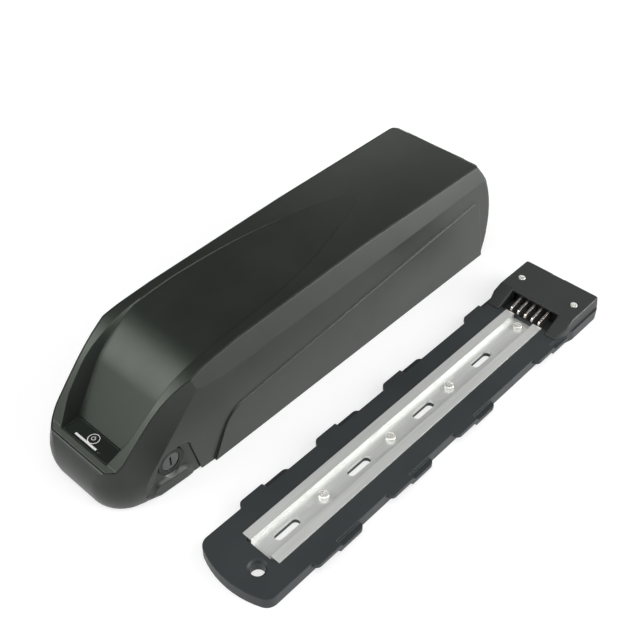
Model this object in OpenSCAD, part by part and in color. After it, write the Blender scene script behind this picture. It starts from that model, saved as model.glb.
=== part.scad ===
// Down-tube battery pack lying on the floor beside its own mounting plate.
// X runs across the pack towards the lock side, Y from the nose to the tail, Z is up.
// The origin is on the floor, under the middle of the pair.

/* [Pack] */
// Length of the pack from nose to tail
pack_l = 365; // [355:1:375]
// Width of the pack over its raised side panels
pack_w = 90; // [88:0.5:93]
// Height of the pack at the middle of its top
pack_h = 87.8; // [87:0.2:90]
// Thickness of the shell walls
wall = 3.2; // [2.8:0.1:3.4]
// Thickness of the top cover
cover_t = 2.4; // [2:0.1:2.8]
// How far the raised side panels stand out
panel_proud = 1; // [0.6:0.1:1.4]

/* [Nose] */
// Height of the flat lip in front of the gauge
lip_z = 33.2; // [32:0.2:34.4]
// Length of the gauge panel along the pack
gauge_l = 13.6; // [12:0.2:14]
// Half width of the gauge panel
gauge_half = 21.8; // [20:0.2:23]
// Depth of the shallow recess that runs up the top
tongue_depth = 0.9; // [0.6:0.1:1.2]

/* [Cells] */
// Radius of one cell
cell_r = 9.15; // [8.9:0.05:9.2]
// Length of one cell
cell_l = 65; // [60:0.5:66]
// Distance between neighbouring cells
cell_pitch = 18.7; // [18.6:0.05:18.8]

/* [Lock] */
// Radius of the lock's face
lock_face_r = 9.6; // [9:0.1:10]
// Radius of the turning barrel
barrel_r = 6.5; // [6:0.1:6.8]
// Radius of the bolt that drops into the plate
bolt_r = 4; // [3.6:0.1:4.3]
// How far the bolt drops
bolt_drop = 6; // [5:0.1:6.4]

/* [Plate] */
// Thickness of the mounting plate
plate_t = 8.5; // [8:0.1:9]
// Half width of the mounting plate between its lugs
plate_half = 28.5; // [27.5:0.1:29]
// Half width over the lugs
lug_half = 32.5; // [32:0.1:33]
// Thickness of a lug
lug_t = 3; // [2.5:0.1:3.4]
// Width of the aluminium rail
rail_w = 30; // [28:0.2:32]
// Length of the aluminium rail
rail_l = 266; // [260:0.5:267]
// Distance between the rail's slots
slot_pitch = 64.4; // [62:0.2:65]
// Length of a slot from end to end
slot_l = 20; // [14:0.5:22]
// Width of a slot
slot_w = 6; // [5.2:0.1:7]
// Height of the connector box above the floor
box_h = 17; // [16.5:0.1:18]

/* [Placing] */
// Distance from the pack's centre line to the plate's
pair_gap = 116.4; // [100:0.2:140]
// Where the rail starts, measured from the pack's nose
plate_y0 = 40; // [36:0.5:44]

/* [Hidden] */

// Overrun of every cut past the face it opens
over = 1;
// Gap of a running fit on radius
run_fit = 0.05;
// Gap between fixed pieces that nest
fit = 0.3;
// Facets of round pieces
round_fn = 48;

// Nose: how far its belly stands out in front of its foot, and where
nose_belly = 3;
belly_z = 14;
belly_r = (belly_z * belly_z + nose_belly * nose_belly) / (2 * nose_belly);
corner_x = 15;
corner_y = 22.5;
corner_angle = 18;
corner_steps = 8;
lean_angle = 12.7;
lip_round_r = 1.6;

// Place of the pack and of the plate in the shared frame
box_half = 33.2;
pair_w = pack_w / 2 + pair_gap + box_half;
pack_x = pack_w / 2 - pair_w / 2;
plate_x = pair_w / 2 - box_half;
frame_y = nose_belly - pack_l / 2;
tail_y = pack_l - nose_belly;

// Envelope of the pack
body_half = pack_w / 2 - panel_proud;
crease_half = 40;
crown_drop = 1.8;
crown_r = (crease_half * crease_half + crown_drop * crown_drop) / (2 * crown_drop);
crown_fall_y = 215;
crown_fall_angle = 1.9;
strip_angle = 17.1;
strip_yaw = 0.46;
strip_y = 340;
waist_y = 85;
waist_angle = 2.8;
tail_r = 96.7;
tail_bulge_z = 28.2;
tail_round_r = 5;
top_fall_y = 230;
top_fall_r = 1500;
top_gap = 0.1;
nose_join_y = 78;
nose_arc_r = 75;
nose_arc_slope = 43;
slope_arc_r = 376;
slope_arc_slope = 48;
big = 2 * pack_l;
arc_steps = 10;

// Points of a circle's arc in order
function arc(c, r, a0, a1, n = arc_steps) =
    [for (i = [0 : n]) c + r * [cos(a0 + (a1 - a0) * i / n), sin(a0 + (a1 - a0) * i / n)]];

// Side outline of the pack, moved inwards by d and starting at height low
tail_c = [tail_y - tail_r, tail_bulge_z];
fall_c = [top_fall_y, pack_h + top_gap - top_fall_r];
fall_angle = asin((top_fall_y - nose_join_y) / top_fall_r);
nose_c = fall_c + (top_fall_r - nose_arc_r) * [-sin(fall_angle), cos(fall_angle)];
slope_c = nose_c + (nose_arc_r - slope_arc_r) * [-sin(nose_arc_slope), cos(nose_arc_slope)];
tail_corner_z = pack_h - tail_round_r;
tail_corner = [
    tail_c[0] + sqrt(pow(tail_r - tail_round_r, 2) - pow(tail_corner_z - tail_bulge_z, 2)),
    tail_corner_z];
tail_corner_angle = atan2(tail_corner[1] - tail_c[1], tail_corner[0] - tail_c[0]);
function slope_end(d) =
    slope_c + (slope_arc_r - d) * [-sin(slope_arc_slope), cos(slope_arc_slope)];
function lip_y(d) = slope_end(d)[0] - (slope_end(d)[1] - lip_z + d) / tan(slope_arc_slope);
// Angle on the belly's arc at height z, with the arc moved inwards by d
function belly_angle(d, z) = asin((z - belly_z) / (belly_r - d));
front_c = [belly_r - nose_belly, belly_z];
function profile(d, low) =
    let (round_z = lip_z - lip_round_r - d, turn = belly_angle(d, round_z))
    concat(
        arc(tail_c, tail_r - d, asin((low - tail_bulge_z) / (tail_r - d)), tail_corner_angle),
        arc(tail_corner, tail_round_r - d, tail_corner_angle, 90, 4),
        arc(fall_c, top_fall_r - d, 90, 90 + fall_angle),
        arc(nose_c, nose_arc_r - d, 90 + fall_angle, 90 + nose_arc_slope),
        arc(slope_c, slope_arc_r - d, 90 + nose_arc_slope, 90 + slope_arc_slope, 4),
        [[lip_y(d), lip_z - d]],
        arc(front_c + (belly_r - d - lip_round_r) * [-cos(turn), sin(turn)],
            lip_round_r, 90, 180 - turn, 4),
        arc(front_c, belly_r - d, 180 - turn, 180 - lean_angle, 5),
        [front_c + (belly_r - d) * [-cos(lean_angle), sin(lean_angle)]
            - belly_r * [sin(lean_angle), cos(lean_angle)],
         [-nose_belly - belly_r, low]]);

// A side outline drawn in Y and Z, given the width w across the pack
module across(w) {
    rotate([90, 0, 90]) linear_extrude(w, center = true) children();
}

// Outline of the nose's flank, drawn outwards and upwards from its corner's axis, with
// the pack's inside reaching back without end
function flank(d, low) =
    let (edge = arc([corner_y + nose_belly - belly_r, belly_z], belly_r - d,
            belly_angle(d, low), lean_angle),
         last = edge[len(edge) - 1])
    concat([[-big, low]], edge, [last + (pack_h + over - last[1]) * [-tan(lean_angle), 1],
        [-big, pack_h + over]]);

// The nose as a block that widens towards the tail without end: flat flanks that touch
// its round corners at even steps
module nose_block(d, low) {
    intersection_for(i = [-corner_steps : corner_steps])
        translate([sign(i) * corner_x, corner_y, 0])
            rotate([90, 0, (90 - corner_angle) * i / corner_steps - 90])
                linear_extrude(2 * big, center = true) polygon(flank(d, low));
}

// Plan of the upright lower sides, moved inwards by d
module waist_plan(d) {
    foot = body_half - d - waist_y * tan(waist_angle);
    polygon([[-foot, 0], [-foot, -nose_belly - over], [foot, -nose_belly - over], [foot, 0],
        [body_half - d, waist_y], [body_half - d, big],
        [d - body_half, big], [d - body_half, waist_y]]);
}

// The half space under the bevelled strip beside the crease
module strip_side(d) {
    translate([crease_half, strip_y, pack_h - crown_drop])
        rotate([0, 0, -strip_yaw]) rotate([0, -strip_angle, 0])
            translate([-big - d, -big, -big / 2]) cube([big, 2 * big, big]);
}

module crown_block(d) {
    rotate([90, 0, 0]) linear_extrude(big, center = true)
        polygon(concat(
            [[body_half + wall, -pack_h - wall], [body_half + wall, -2 * crown_drop]],
            arc([0, -crown_r], crown_r - d,
                90 - asin(body_half / crown_r), 90 + asin(body_half / crown_r)),
            [[-body_half - wall, -2 * crown_drop], [-body_half - wall, -pack_h - wall]]));
}

// Shape of the pack with its sides moved inwards by d and its top by top_d
module envelope(d, top_d, low = 0) {
    intersection() {
        across(big) polygon(profile(top_d, low));
        nose_block(d, low - over);
        translate([0, 0, low - over]) linear_extrude(big) waist_plan(d);
        translate([0, crown_fall_y, pack_h]) crown_block(top_d);
        translate([0, crown_fall_y, pack_h]) rotate([crown_fall_angle, 0, 0])
            crown_block(top_d);
        strip_side(d);
        mirror([1, 0, 0]) strip_side(d);
    }
}

module in_pack() {
    translate([pack_x, frame_y, 0]) children();
}

module on_plate() {
    translate([plate_x, frame_y + plate_y0, 0]) children();
}

module both_sides() {
    children();
    mirror([1, 0, 0]) children();
}

// Rounded corner at p where a path turns from heading a0 to heading a1
function turn(p, a0, a1, r) =
    let (side = a1 > a0 ? 1 : -1, middle = (a0 + a1) / 2 + 90 * side)
    arc(p + r / cos((a1 - a0) / 2) * [cos(middle), sin(middle)], r,
        a0 - 90 * side, a1 - 90 * side, 6);

// A box given by its lowest corner and its highest corner
module span(low, high) {
    translate(low) cube(high - low);
}

// A cylinder along X from x0 to x1, centred at p in Y and Z
module rod_x(p, r, x0, x1, fn = round_fn) {
    translate([x0, p[0], p[1]]) rotate([0, 90, 0]) cylinder(r = r, h = x1 - x0, $fn = fn);
}

// Side shell
cover_seam = 0.3;
cover_rim = 0.8;
cover_y0 = 3.6;
cover_y1 = 338.6;
ledge_t = 2;
roof_t = cover_t + ledge_t;
ledge_w = 2.4;
parting_y = 57;
pad_z0 = 0;
pad_y0 = 71.4;
pad_front_angle = 67;
pad_corner = [85.65, 33.6];
pad_rise = 5.65;
pad_corner_r = 20;
pad_top_y1 = 341;
pad_y1 = 354.5;
pad_inner = 41;

// Tray in the floor of the pack
tray_flange_t = 1.4;
tray_inset = 0.3;
recess_half = 34;
recess_y0 = 17;
recess_z = 9.4;
tray_skin = 2;
tray_top = recess_z + tray_skin;
pocket_half = 35;
pocket_y0 = 305;
pocket_z = 19.5;
pocket_wall = 2.5;
pocket_roof_t = 2.4;
pocket_top = pocket_z + pocket_roof_t;
tray_tail = tail_y - roof_t - fit;
hollow_y0 = 4;
hollow_y1 = 14.5;
hollow_half = 26;
hook_z0 = 2.2;
hook_z1 = 5;
hook_tip = 30;
hook_l = 13;
hook_lag = 1;
screw_x = 37.4;
screw_ys = [78, 150, 230, 290];
screw_r = 1.5;
screw_head_r = 3;
screw_head_z0 = 0.6;
screw_head_z1 = 2.8;
screw_top = 22;
boss_r = 3.2;
boss_top = 25;

// Scoop under the gauge, and the shallow tongue above it
gauge_y0 = 7.6;
gauge_y1 = gauge_y0 + gauge_l;
gauge_drop = 0.6;
gauge_z = lip_z - gauge_drop;
scoop_line_end = [44, 59.6];
scoop_c = [94.5, 11];
scoop_r = 70;
scoop_a0 = 136;
scoop_a1 = 97;
scoop_half = 32.6;
scoop_y1 = 88;
scoop_power = 0.6;
scoop_lean = 24.2;
scoop_rise = 34;
scoop_line_slope = atan2(scoop_line_end[1] - gauge_z, scoop_line_end[0] - gauge_y1);
tongue_y0 = 79;
tongue_y1 = 257;
tongue_half = 32;
tongue_power = 2.6;

// Each station of the scoop's floor: place in Y and Z, and the slope there
scoop_arc = arc(scoop_c, scoop_r, scoop_a0, scoop_a1, 8);
scoop_stations = concat([[gauge_y0, gauge_z, 0], [gauge_y1, gauge_z, 0]],
    [for (i = [0 : 8]) [scoop_arc[i][0], scoop_arc[i][1],
        scoop_a0 - 90 + (scoop_a1 - scoop_a0) * i / 8]]);
function scoop_floor_half(y) = gauge_half
    + (scoop_half - gauge_half) * pow(max(0, (y - gauge_y1) / (scoop_y1 - gauge_y1)), scoop_power);

// Solid that fills the scoop, grown by d towards the inside of the pack
module scoop(d) {
    bend = d * tan(scoop_line_slope / 2);
    steps = [for (i = [0 : len(scoop_stations) - 1])
        let (s = scoop_stations[i], low = d / cos(s[2]))
            [s[0] + (i == 0 ? -d : i == 1 ? bend : 0), s[1] - low,
                scoop_floor_half(s[0]) + d / cos(scoop_lean) - tan(scoop_lean) * low]];
    run = scoop_rise * tan(scoop_lean);
    points = [for (s = steps) each [[-s[2], s[0], s[1]], [s[2], s[0], s[1]],
        [s[2] + run, s[0], s[1] + scoop_rise], [-s[2] - run, s[0], s[1] + scoop_rise]]];
    last = 4 * len(steps) - 4;
    faces = concat(
        [[2, 1, 0], [3, 2, 0], [last, last + 1, last + 2], [last, last + 2, last + 3]],
        [for (k = [0 : 4 : last - 4]) for (j = [0 : 3]) let (n = (j + 1) % 4)
            each [[k + 4 + j, k + j, k + n], [k + 4 + n, k + 4 + j, k + n]]]);
    polyhedron(points, faces);
}

// Cut of the tongue, which follows the top and fades out towards the tail
module tongue() {
    run = tongue_y1 - tongue_y0;
    right = [for (i = [0 : arc_steps]) let (t = i / arc_steps)
        [tongue_half * (1 - pow(t, tongue_power)), tongue_y0 + t * run]];
    left = [for (i = [arc_steps - 1 : -1 : 0]) [-right[i][0], right[i][1]]];
    difference() {
        translate([0, 0, tray_top]) linear_extrude(pack_h) polygon(concat(right, left));
        translate([0, tongue_y1, pack_h]) rotate([atan2(tongue_depth, run), 0, 0])
            translate([0, -tongue_y1, -pack_h]) envelope(-over, 0);
    }
}

// Room of the top cover, shrunk by d at its edges and going down to depth
module cover_room(d, depth, top_d) {
    difference() {
        intersection() {
            envelope(cover_rim + d, top_d);
            span([-pack_w, cover_y0 + d, lip_z - depth], [pack_w, cover_y1 - d, big]);
        }
        envelope(-over, depth);
    }
}

// Outline of a raised side panel
module pad_outline() {
    polygon(concat([[pad_y0, pad_z0]],
        turn(pad_corner, pad_front_angle, pad_rise, pad_corner_r),
        [[pad_top_y1, pad_corner[1] + (pad_top_y1 - pad_corner[0]) * tan(pad_rise)],
         [pad_y1, pad_z0]]));
}

// Lock: axis along X through this point in Y and Z
lock_p = [41, 21];
lock_face_x = 39.3;
lock_seat_x = 35.4;
lock_body_r = 8;
lock_x0 = 16;
lock_nut_r = 9.5;
lock_nut_x0 = 28.4;
lock_nut_x1 = 31.6;
lock_pad_r = 11.6;
cam_x0 = 12.4;
cam_t = 2.4;
cam_r = 6.4;
pin_r = 1.5;
pin_orbit = bolt_drop / sqrt(2);
pin_x0 = 6.4;
bolt_x = 8;
bolt_y = 37;
bolt_lift = 0.2;
bolt_z0 = recess_z + bolt_lift;
bolt_top = 28.5;
bolt_slot_gap = 0.35;
bolt_slot_x = 5.8;
bolt_boss_r = 6.5;
bolt_boss_top = 14;
key_w = 1.3;
key_l = 7.4;
key_depth = 8;
face_drop = 0.4;
lock_pocket_x = 35.5;
lock_pocket_z = 30;
lock_pocket_slope = 10.4;
lock_corner_1 = [35, 32.2];
lock_corner_r_1 = 9;
lock_lean_1 = 59;
lock_corner_2 = [53.6, 32.2];
lock_corner_r_2 = 6;
lock_lean_2 = -77;
lock_pocket_y0 = 15;
lock_pocket_y1 = 61.4;

// The pocket round the lock, grown by d
module lock_pocket(d) {
    intersection() {
        across(pack_w) polygon(concat([[lock_pocket_y0 - d, -over]],
            turn(lock_corner_1 + d * [-1, 1], lock_lean_1, 0, lock_corner_r_1 + d),
            turn(lock_corner_2 + d * [1, 1], 0, lock_lean_2, lock_corner_r_2 + d),
            [[lock_pocket_y1 + d, -over]]));
        translate([lock_pocket_x - d / cos(lock_pocket_slope), 0, lock_pocket_z])
            rotate([0, -lock_pocket_slope, 0]) translate([0, 0, -pack_w])
                cube([pack_w, pack_w, 2 * pack_w]);
    }
}

// Charging socket and rocker switch on the left side
charge_p = [30, 20];
charge_seat = 38.5;
charge_room_r = 10;
charge_flange_r = 8;
charge_flange_t = 1.5;
charge_body_r = 6;
charge_x0 = 24;
charge_bore_r = 3;
charge_bore_x = 28;
charge_pin_r = 1;
charge_nut_r = 8.6;
charge_nut_x = [31, 34];
cap_gap = 0.3;
cap_t = 1.6;
cap_r = 7.4;
cap_hinge_z = 8.7;
cap_hinge_r = 0.8;
cap_hinge_half = 2.6;
cap_strap_half = 2;
switch_p = [58, 21];
switch_seat = 41.2;
switch_half = [10.5, 7.5];
switch_body_half = [9.2, 6.4];
switch_t = 1.5;
switch_x0 = 28;
rocker_half = [7.5, 4.6];
rocker_room_x = 33.6;
rocker_x = 37.4;
rocker_tilt = 8;
rocker_gap = 0.3;
rocker_pin_r = 1;
rocker_back = 2;
rocker_dip = 3.7;
rocker_tip = 5;

module side_shell() {
    color([0.13, 0.14, 0.13]) in_pack() difference() {
        union() {
            difference() {
                union() {
                    envelope(0, 0);
                    both_sides() translate([pad_inner, 0, 0]) rotate([90, 0, 90])
                        linear_extrude(pack_w / 2 - pad_inner) pad_outline();
                }
                envelope(wall, roof_t, -over);
                cover_room(-cover_seam, cover_t + cover_seam, -over);
                intersection() {
                    envelope(wall + ledge_w, -over);
                    span([-pack_w, cover_y0 + ledge_w, tray_top],
                        [pack_w, cover_y1 - ledge_w, big]);
                }
                scoop(cover_t + cover_seam);
            }
            intersection() {
                envelope(0, 0);
                union() {
                    lock_pocket(wall);
                    rod_x(lock_p, lock_pad_r, lock_nut_x1, lock_face_x);
                }
            }
            intersection() {
                envelope(0, 0);
                rod_x(charge_p, charge_room_r + wall, -pack_w / 2, wall - charge_seat);
            }
            intersection() {
                envelope(fit, fit);
                both_sides() for (y = screw_ys) {
                    translate([screw_x, y, tray_top + fit])
                        cylinder(r = boss_r, h = boss_top - tray_top - fit, $fn = round_fn);
                    span([screw_x, y - boss_r, tray_top + fit], [body_half, y + boss_r, boss_top]);
                }
            }
        }
        lock_pocket(0);
        rod_x(lock_p, lock_body_r + fit, lock_x0, pack_w);
        rod_x(lock_p, lock_face_r + fit, lock_seat_x, pack_w);
        rod_x(charge_p, charge_room_r, -pack_w, -charge_seat);
        rod_x(charge_p, charge_body_r + fit, -pack_w, 0);
        span([-pack_w, switch_p[0] - switch_half[0] - fit, switch_p[1] - switch_half[1] - fit],
            [-switch_seat, switch_p[0] + switch_half[0] + fit, switch_p[1] + switch_half[1] + fit]);
        span([-pack_w, switch_p[0] - switch_body_half[0] - fit,
                switch_p[1] - switch_body_half[1] - fit],
            [-switch_x0, switch_p[0] + switch_body_half[0] + fit,
                switch_p[1] + switch_body_half[1] + fit]);
        both_sides() for (y = screw_ys) translate([screw_x, y, 0])
            cylinder(r = screw_r + run_fit, h = screw_top + over, $fn = round_fn);
        span([-pack_w, -pack_l, -over], [pack_w, parting_y, tray_flange_t + tray_inset]);
        span([-pocket_half - pocket_wall - fit, pocket_y0, -over],
            [pocket_half + pocket_wall + fit, pack_l, pocket_top + fit]);
    }
}

module top_cover() {
    color([0.11, 0.12, 0.11]) in_pack() difference() {
        union() {
            cover_room(0, cover_t, 0);
            intersection() {
                envelope(cover_rim, 0);
                scoop(cover_t);
                span([-pack_w, cover_y0, gauge_z - cover_t], [pack_w, scoop_y1, big]);
            }
            both_sides() for (y = board_post_ys) translate([board_post_x, y, board_top])
                cylinder(r = board_post_r, h = gauge_z - cover_t - board_top + over / 2,
                    $fn = round_fn);
        }
        scoop(0);
        tongue();
        span([-gauge_half, gauge_y0, gauge_z - window_t], [gauge_half, gauge_y1, gauge_z + over]);
        translate([button_x, button_y, 0])
            cylinder(r = button_r + run_fit, h = gauge_z, $fn = round_fn);
    }
}

module bottom_tray() {
    color([0.12, 0.13, 0.12]) in_pack() difference() {
        union() {
            intersection() {
                envelope(tray_inset, tray_inset);
                span([-pack_w, -pack_l, 0], [pack_w, parting_y - tray_inset, tray_flange_t]);
            }
            intersection() {
                envelope(wall + fit, roof_t + fit);
                union() {
                    span([-pack_w, -pack_l, 0], [pack_w, tray_tail, tray_top]);
                    span([-pocket_half - pocket_wall, pocket_y0 - pocket_wall, 0],
                        [pocket_half + pocket_wall, tray_tail, pocket_top]);
                }
            }
            translate([bolt_x, bolt_y, recess_z])
                cylinder(r = bolt_boss_r, h = bolt_boss_top - recess_z, $fn = round_fn);
            for (x = board_rib_xs) span([x - board_rib_half, board_y0 - board_rib_w, recess_z],
                [x + board_rib_half, board_y0 + board_t + board_rib_w, board_rib_top]);
        }
        difference() {
            span([-recess_half, recess_y0, -over], [recess_half, pack_l, recess_z]);
            both_sides() for (v = lug_vs) span(
                [hook_tip, v + dock_y + hook_lag, hook_z0],
                [pack_w, v + dock_y + hook_lag + hook_l, hook_z1]);
        }
        span([-pocket_half, pocket_y0, -over], [pocket_half, pack_l, pocket_z]);
        span([-hollow_half, hollow_y0, tray_skin], [hollow_half, hollow_y1, pack_h]);
        lock_pocket(wall + fit);
        rod_x(lock_p, lock_pad_r + fit, lock_nut_x1 - fit, pack_w);
        rod_x(charge_p, charge_room_r + wall + fit, -pack_w, wall + fit - charge_seat);
        translate([bolt_x, bolt_y, 0])
            cylinder(r = bolt_r + run_fit, h = pack_h, $fn = round_fn);
        both_sides() for (y = screw_ys) translate([screw_x, y, 0]) {
            translate([0, 0, -over])
                cylinder(r = screw_head_r + fit, h = screw_head_z1 + over, $fn = round_fn);
            cylinder(r = screw_r + run_fit, h = pack_h, $fn = round_fn);
        }
        for (x = board_rib_xs) span([x - board_rib_half - over, board_y0 - run_fit, board_z0],
            [x + board_rib_half + over, board_y0 + board_t + run_fit, pack_h]);
        span([-socket_neck_half - fit, pocket_y0 - pocket_wall - over, socket_neck_z0 - fit],
            [socket_neck_half + fit, pocket_y0 + over, socket_neck_z1 + fit]);
    }
}

// Gauge panel
window_t = 1.2;
window_fit = 0.1;
bar_x0 = -12;
bar_x1 = 8;
bar_y0 = 10.2;
bar_w = 1.5;
bar_t = 0.8;
button_x = 0;
button_y = 15.4;
button_r = 3.2;
button_proud = 0.4;
button_travel = 0.8;
button_flange_r = 4.4;
button_flange_t = 0.8;
board_half = 18;
board_ys = [9, 20];
board_th = 1.6;
board_top = 28.2;
board_post_x = 15;
board_post_ys = [11, 18];
board_post_r = 2;
board_switch_half = 2;
button_gap = 0.3;
button_z0 = board_top + button_travel + button_gap;

module gauge_window() {
    color([0.05, 0.06, 0.06]) in_pack() difference() {
        span([window_fit - gauge_half, gauge_y0 + window_fit, gauge_z - window_t],
            [gauge_half - window_fit, gauge_y1 - window_fit, gauge_z]);
        translate([button_x, button_y, 0])
            cylinder(r = button_r + run_fit, h = pack_h, $fn = round_fn);
        span([bar_x0 - run_fit, bar_y0 - run_fit, gauge_z - bar_t],
            [bar_x1 + run_fit, bar_y0 + bar_w + run_fit, gauge_z + over]);
    }
}

module gauge_bar() {
    color([0.9, 0.9, 0.9]) in_pack()
        span([bar_x0, bar_y0, gauge_z - bar_t], [bar_x1, bar_y0 + bar_w, gauge_z]);
}

module power_button() {
    color([0.75, 0.76, 0.75]) in_pack() translate([button_x, button_y, button_z0]) {
        cylinder(r = button_r, h = gauge_z + button_proud - button_z0, $fn = round_fn);
        cylinder(r = button_flange_r, h = button_flange_t, $fn = round_fn);
    }
}

module gauge_board() {
    color([0.1, 0.35, 0.2]) in_pack() {
        span([-board_half, board_ys[0], board_top - board_th], [board_half, board_ys[1], board_top]);
        span([button_x - board_switch_half, button_y - board_switch_half, board_top - over / 2],
            [button_x + board_switch_half, button_y + board_switch_half, button_z0
                - button_travel - run_fit]);
    }
}

module lock_housing() {
    color([0.5, 0.52, 0.52]) in_pack() difference() {
        union() {
            rod_x(lock_p, lock_body_r, lock_x0, lock_face_x);
            rod_x(lock_p, lock_face_r, lock_seat_x + run_fit, lock_face_x);
        }
        rod_x(lock_p, barrel_r + run_fit, 0, pack_w);
    }
}

module lock_nut() {
    color([0.6, 0.6, 0.58]) in_pack() difference() {
        rod_x(lock_p, lock_nut_r, lock_nut_x0, lock_nut_x1 - run_fit);
        rod_x(lock_p, lock_body_r + run_fit, 0, pack_w);
    }
}

module lock_barrel() {
    color([0.62, 0.64, 0.64]) in_pack() difference() {
        rod_x(lock_p, barrel_r, cam_x0 + cam_t, lock_face_x - face_drop);
        span([lock_face_x - key_depth, lock_p[0] - key_w / 2, lock_p[1] - key_l / 2],
            [pack_w, lock_p[0] + key_w / 2, lock_p[1] + key_l / 2]);
    }
}

module lock_cam() {
    color([0.55, 0.55, 0.53]) in_pack() {
        rod_x(lock_p, cam_r, cam_x0, cam_x0 + cam_t);
        rod_x(lock_p + pin_orbit * [-1, 1] / sqrt(2), pin_r, pin_x0, cam_x0 + cam_t / 2);
    }
}

module lock_bolt() {
    slot_z = lock_p[1] + bolt_drop / 2;
    color([0.66, 0.66, 0.64]) in_pack() difference() {
        translate([bolt_x, bolt_y, bolt_z0])
            cylinder(r = bolt_r, h = bolt_top - bolt_z0, $fn = round_fn);
        span([bolt_slot_x, 0, slot_z - pin_r - bolt_slot_gap],
            [pack_w, pack_w, slot_z + pin_r + bolt_slot_gap]);
    }
}

module charge_socket() {
    color([0.2, 0.2, 0.2]) in_pack() mirror([1, 0, 0]) {
        difference() {
            union() {
                rod_x(charge_p, charge_flange_r, charge_seat, charge_seat + charge_flange_t);
                rod_x(charge_p, charge_body_r, charge_x0, charge_seat + charge_flange_t);
                rod_x(charge_p, charge_nut_r, charge_nut_x[0], charge_nut_x[1], 6);
            }
            rod_x(charge_p, charge_bore_r, charge_bore_x, pack_w);
        }
        rod_x(charge_p, charge_pin_r, charge_x0 + over, charge_seat);
    }
}

module charge_cap() {
    cap_x = charge_seat + charge_flange_t + cap_gap;
    color([0.08, 0.08, 0.08]) in_pack() mirror([1, 0, 0]) {
        rod_x(charge_p, cap_r, cap_x, cap_x + cap_t);
        span([cap_x, charge_p[0] - cap_strap_half, charge_p[1]],
            [cap_x + cap_t, charge_p[0] + cap_strap_half, charge_p[1] + cap_hinge_z]);
        translate([cap_x + cap_t / 2, charge_p[0], charge_p[1] + cap_hinge_z]) rotate([90, 0, 0])
            cylinder(r = cap_hinge_r, h = 2 * cap_hinge_half, center = true, $fn = round_fn);
    }
}

module switch_frame() {
    color([0.1, 0.1, 0.1]) in_pack() mirror([1, 0, 0]) translate([0, switch_p[0], switch_p[1]]) {
        difference() {
            union() {
                span([switch_seat, -switch_half[0], -switch_half[1]],
                    [switch_seat + switch_t, switch_half[0], switch_half[1]]);
                span([switch_x0, -switch_body_half[0], -switch_body_half[1]],
                    [switch_seat + over / 2, switch_body_half[0], switch_body_half[1]]);
            }
            span([rocker_room_x, -rocker_half[0] - rocker_gap, -rocker_half[1] - rocker_gap],
                [pack_w, rocker_half[0] + rocker_gap, rocker_half[1] + rocker_gap]);
        }
        translate([rocker_x, 0, 0]) cylinder(r = rocker_pin_r,
            h = 2 * (rocker_half[1] + 2 * rocker_gap), center = true, $fn = round_fn);
    }
}

module switch_rocker() {
    color([0.55, 0.05, 0.04]) in_pack() mirror([1, 0, 0])
        translate([rocker_x, switch_p[0], switch_p[1]]) rotate([0, 0, rocker_tilt])
            difference() {
                linear_extrude(2 * rocker_half[1], center = true) polygon([
                    [-rocker_back, -rocker_back], [rocker_tip, rocker_gap - rocker_half[0]],
                    [rocker_dip, 0], [rocker_tip, rocker_half[0] - rocker_gap],
                    [-rocker_back, rocker_back]]);
                cylinder(r = rocker_pin_r + run_fit, h = pack_w, center = true, $fn = round_fn);
            }
}

// Cells: first place along Y and number of cells of each row, lowest row first
cell_fit = 0.1;
row_y = [81.3, 72, 81.3, 128.1];
row_n = [12, 14, 14, 12];
holder_x0 = 26.5;
holder_margin = 0.8;
row_pitch = cell_pitch * sin(60);
row_z0 = tray_top + holder_margin + cell_r;
cell_cap_r = 6;
cell_cap_step = 0.4;
strip_t = 0.4;
strip_w = 8;

function row_z(i) = row_z0 + i * row_pitch;

module cells_row(i) {
    color([0.2, 0.35, 0.6]) in_pack() for (k = [0 : row_n[i] - 1]) {
        p = [row_y[i] + k * cell_pitch, row_z(i)];
        rod_x(p, cell_r, cell_cap_step - cell_l / 2, cell_l / 2 - cell_cap_step);
        rod_x(p, cell_cap_r, -cell_l / 2, cell_l / 2);
    }
}

module cell_holder() {
    difference() {
        for (i = [0 : len(row_y) - 1]) {
            rim = cell_r + holder_margin;
            last_y = row_y[i] + (row_n[i] - 1) * cell_pitch;
            span([holder_x0, row_y[i], row_z(i) - rim], [cell_l / 2, last_y, row_z(i) + rim]);
            for (y = [row_y[i], last_y]) rod_x([y, row_z(i)], rim, holder_x0, cell_l / 2);
        }
        for (i = [0 : len(row_y) - 1]) for (k = [0 : row_n[i] - 1])
            rod_x([row_y[i] + k * cell_pitch, row_z(i)], cell_r + cell_fit, 0, pack_w, 32);
    }
}

// Bars that join neighbouring cells in pairs, beginning with cell number first
module nickel_strips(first) {
    for (i = [0 : len(row_y) - 1]) for (k = [first : 2 : row_n[i] - 2])
        span([cell_l / 2, row_y[i] + k * cell_pitch - strip_w / 2, row_z(i) - strip_w / 2],
            [cell_l / 2 + strip_t, row_y[i] + (k + 1) * cell_pitch + strip_w / 2,
                row_z(i) + strip_w / 2]);
}

module cell_holder_left() {
    color([0.15, 0.15, 0.15]) in_pack() mirror([1, 0, 0]) cell_holder();
}

module cell_holder_right() {
    color([0.15, 0.15, 0.15]) in_pack() cell_holder();
}

module nickel_strips_left() {
    color([0.75, 0.74, 0.7]) in_pack() mirror([1, 0, 0]) nickel_strips(0);
}

module nickel_strips_right() {
    color([0.75, 0.74, 0.7]) in_pack() nickel_strips(1);
}

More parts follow.
